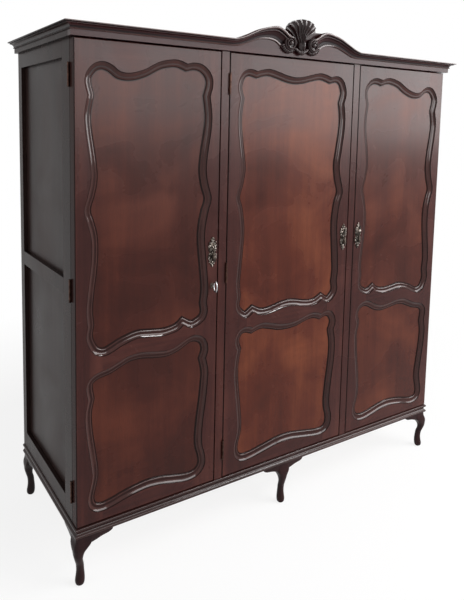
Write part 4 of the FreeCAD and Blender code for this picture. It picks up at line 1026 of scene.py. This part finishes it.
unpolishedTops = ["left_side_frame", "right_side_frame", "top_rail", "back_panels"]
flat, corner = math.radians(1), math.radians(40)
for material, edge, names in kept:
    for name in names:
        part = nodes[name]
        part.data.materials.clear()
        part.data.materials.append(material)
        if name in unpolishedTops:
            finishPart(part, topWood, isTop)
        if edge:
            addModifier(part, "weld", "WELD", merge_threshold=1e-5)
            addModifier(part, "flat", "DECIMATE", decimate_type="DISSOLVE", angle_limit=flat)
            addModifier(part, "edge", "BEVEL", width=edge * mm, segments=2, limit_method="ANGLE",
                        angle_limit=corner)

# Floor, light and camera, in metres
studio = {"floorSize": 40, "floorDrop": 0.0005, "grey": 0.85, "whiteNear": 0.84, "fadeFrom": 1.3,
          "fadeTo": 2.6, "level": 0.32}
white = (1, 1, 1, 1)
pick()
bpy.ops.mesh.primitive_plane_add(size=studio["floorSize"], location=(0, 0, -studio["floorDrop"]))
floor = keepAs(bpy.context.object, "studioFloor")
applyPlace()


# one look for the rays that show the background, seen, mirrored or through, and another for the rest
def splitRays(tree, shaded, shown):
    rays = addNode(tree, "LightPath").outputs
    factor = rays["Is Camera Ray"]
    for kind in ("Is Glossy Ray", "Is Transmission Ray"):
        either = addNode(tree, "Math", {0: factor, 1: rays[kind]})
        either.operation = "MAXIMUM"
        factor = either.outputs["Value"]
    return addNode(tree, "MixShader", {"Fac": factor, 1: shaded, 2: shown}).outputs["Shader"]


floorLook, tree = newMaterial("paleFloor")
tree.nodes.clear()
grey = studio["grey"]
shade = addNode(tree, "BsdfDiffuse", {"Color": (grey, grey, grey, 1)}).outputs["BSDF"]
bright = addNode(tree, "Emission", {"Color": white}).outputs["Emission"]
distance = addNode(tree, "VectorMath", {0: addNode(tree, "TexCoord").outputs["Object"]})
distance.operation = "LENGTH"
fade = addNode(tree, "MapRange", {"Value": distance.outputs["Value"], "From Min": studio["fadeFrom"],
                                  "From Max": studio["fadeTo"], "To Min": studio["whiteNear"], "To Max": 1})
pale = addNode(tree, "MixShader", {"Fac": fade.outputs["Result"], 1: shade, 2: bright}).outputs["Shader"]
addNode(tree, "OutputMaterial", {"Surface": splitRays(tree, shade, pale)})
floor.data.materials.append(floorLook)

world = bpy.data.worlds.new("studioWorld")
bpy.context.scene.world = world
world.use_nodes = True
tree = world.node_tree
tree.nodes.clear()
soft, bright = [addNode(tree, "Background", {"Color": white, "Strength": strength}).outputs["Background"]
                for strength in (studio["level"], 1)]
addNode(tree, "OutputWorld", {"Surface": splitRays(tree, soft, bright)})

lamps = {
    "windowLamp": {"place": (4.1, -3.9, 2.4), "size": (3.4, 2.2), "power": 240},
    "sheenLamp": {"place": (1.3, -4.6, 2.3), "size": (2.0, 1.8), "power": 90},
    "stripLamp": {"place": (2.9, -2.5, 4.1), "size": (3.2, 0.35), "power": 150},
    "sideLamp": {"place": (-4.2, -0.4, 2.4), "size": (2.4, 2.4), "power": 30},
}
aim = Vector((0, 0, 0.9))
for name, lamp in lamps.items():
    pick()
    bpy.ops.object.light_add(type="AREA", location=lamp["place"])
    light = keepAs(bpy.context.object, name)
    light.data.shape = "RECTANGLE"
    light.data.size, light.data.size_y = lamp["size"]
    light.data.energy = lamp["power"]
    light.rotation_euler = (aim - light.location).to_track_quat("-Z", "Y").to_euler()

camera = {
    "place": (-1.4216, -1.9761, 1.4552),
    "right": (0.83742, -0.5462, 0.01958),
    "forward": (0.54501, 0.83184, -0.10495),
    "lens": 36.11,
    "shift": (0.0155, -0.1843),
    "sensor": 36,
    "farEnd": 60,
}
pick()
bpy.ops.object.camera_add(location=camera["place"])
view = keepAs(bpy.context.object, "viewCamera")
forward = Vector(camera["forward"]).normalized()
right = Vector(camera["right"])
right = (right - forward * right.dot(forward)).normalized()
up = right.cross(forward)
view.rotation_euler = Matrix((right, up, -forward)).transposed().to_euler()
view.data.sensor_width = camera["sensor"]
view.data.lens = camera["lens"]
view.data.shift_x, view.data.shift_y = camera["shift"]
view.data.clip_end = camera["farEnd"]
bpy.context.scene.camera = view
bpy.context.scene.view_settings.view_transform = "Standard"
print("wardrobe: light and camera ready")
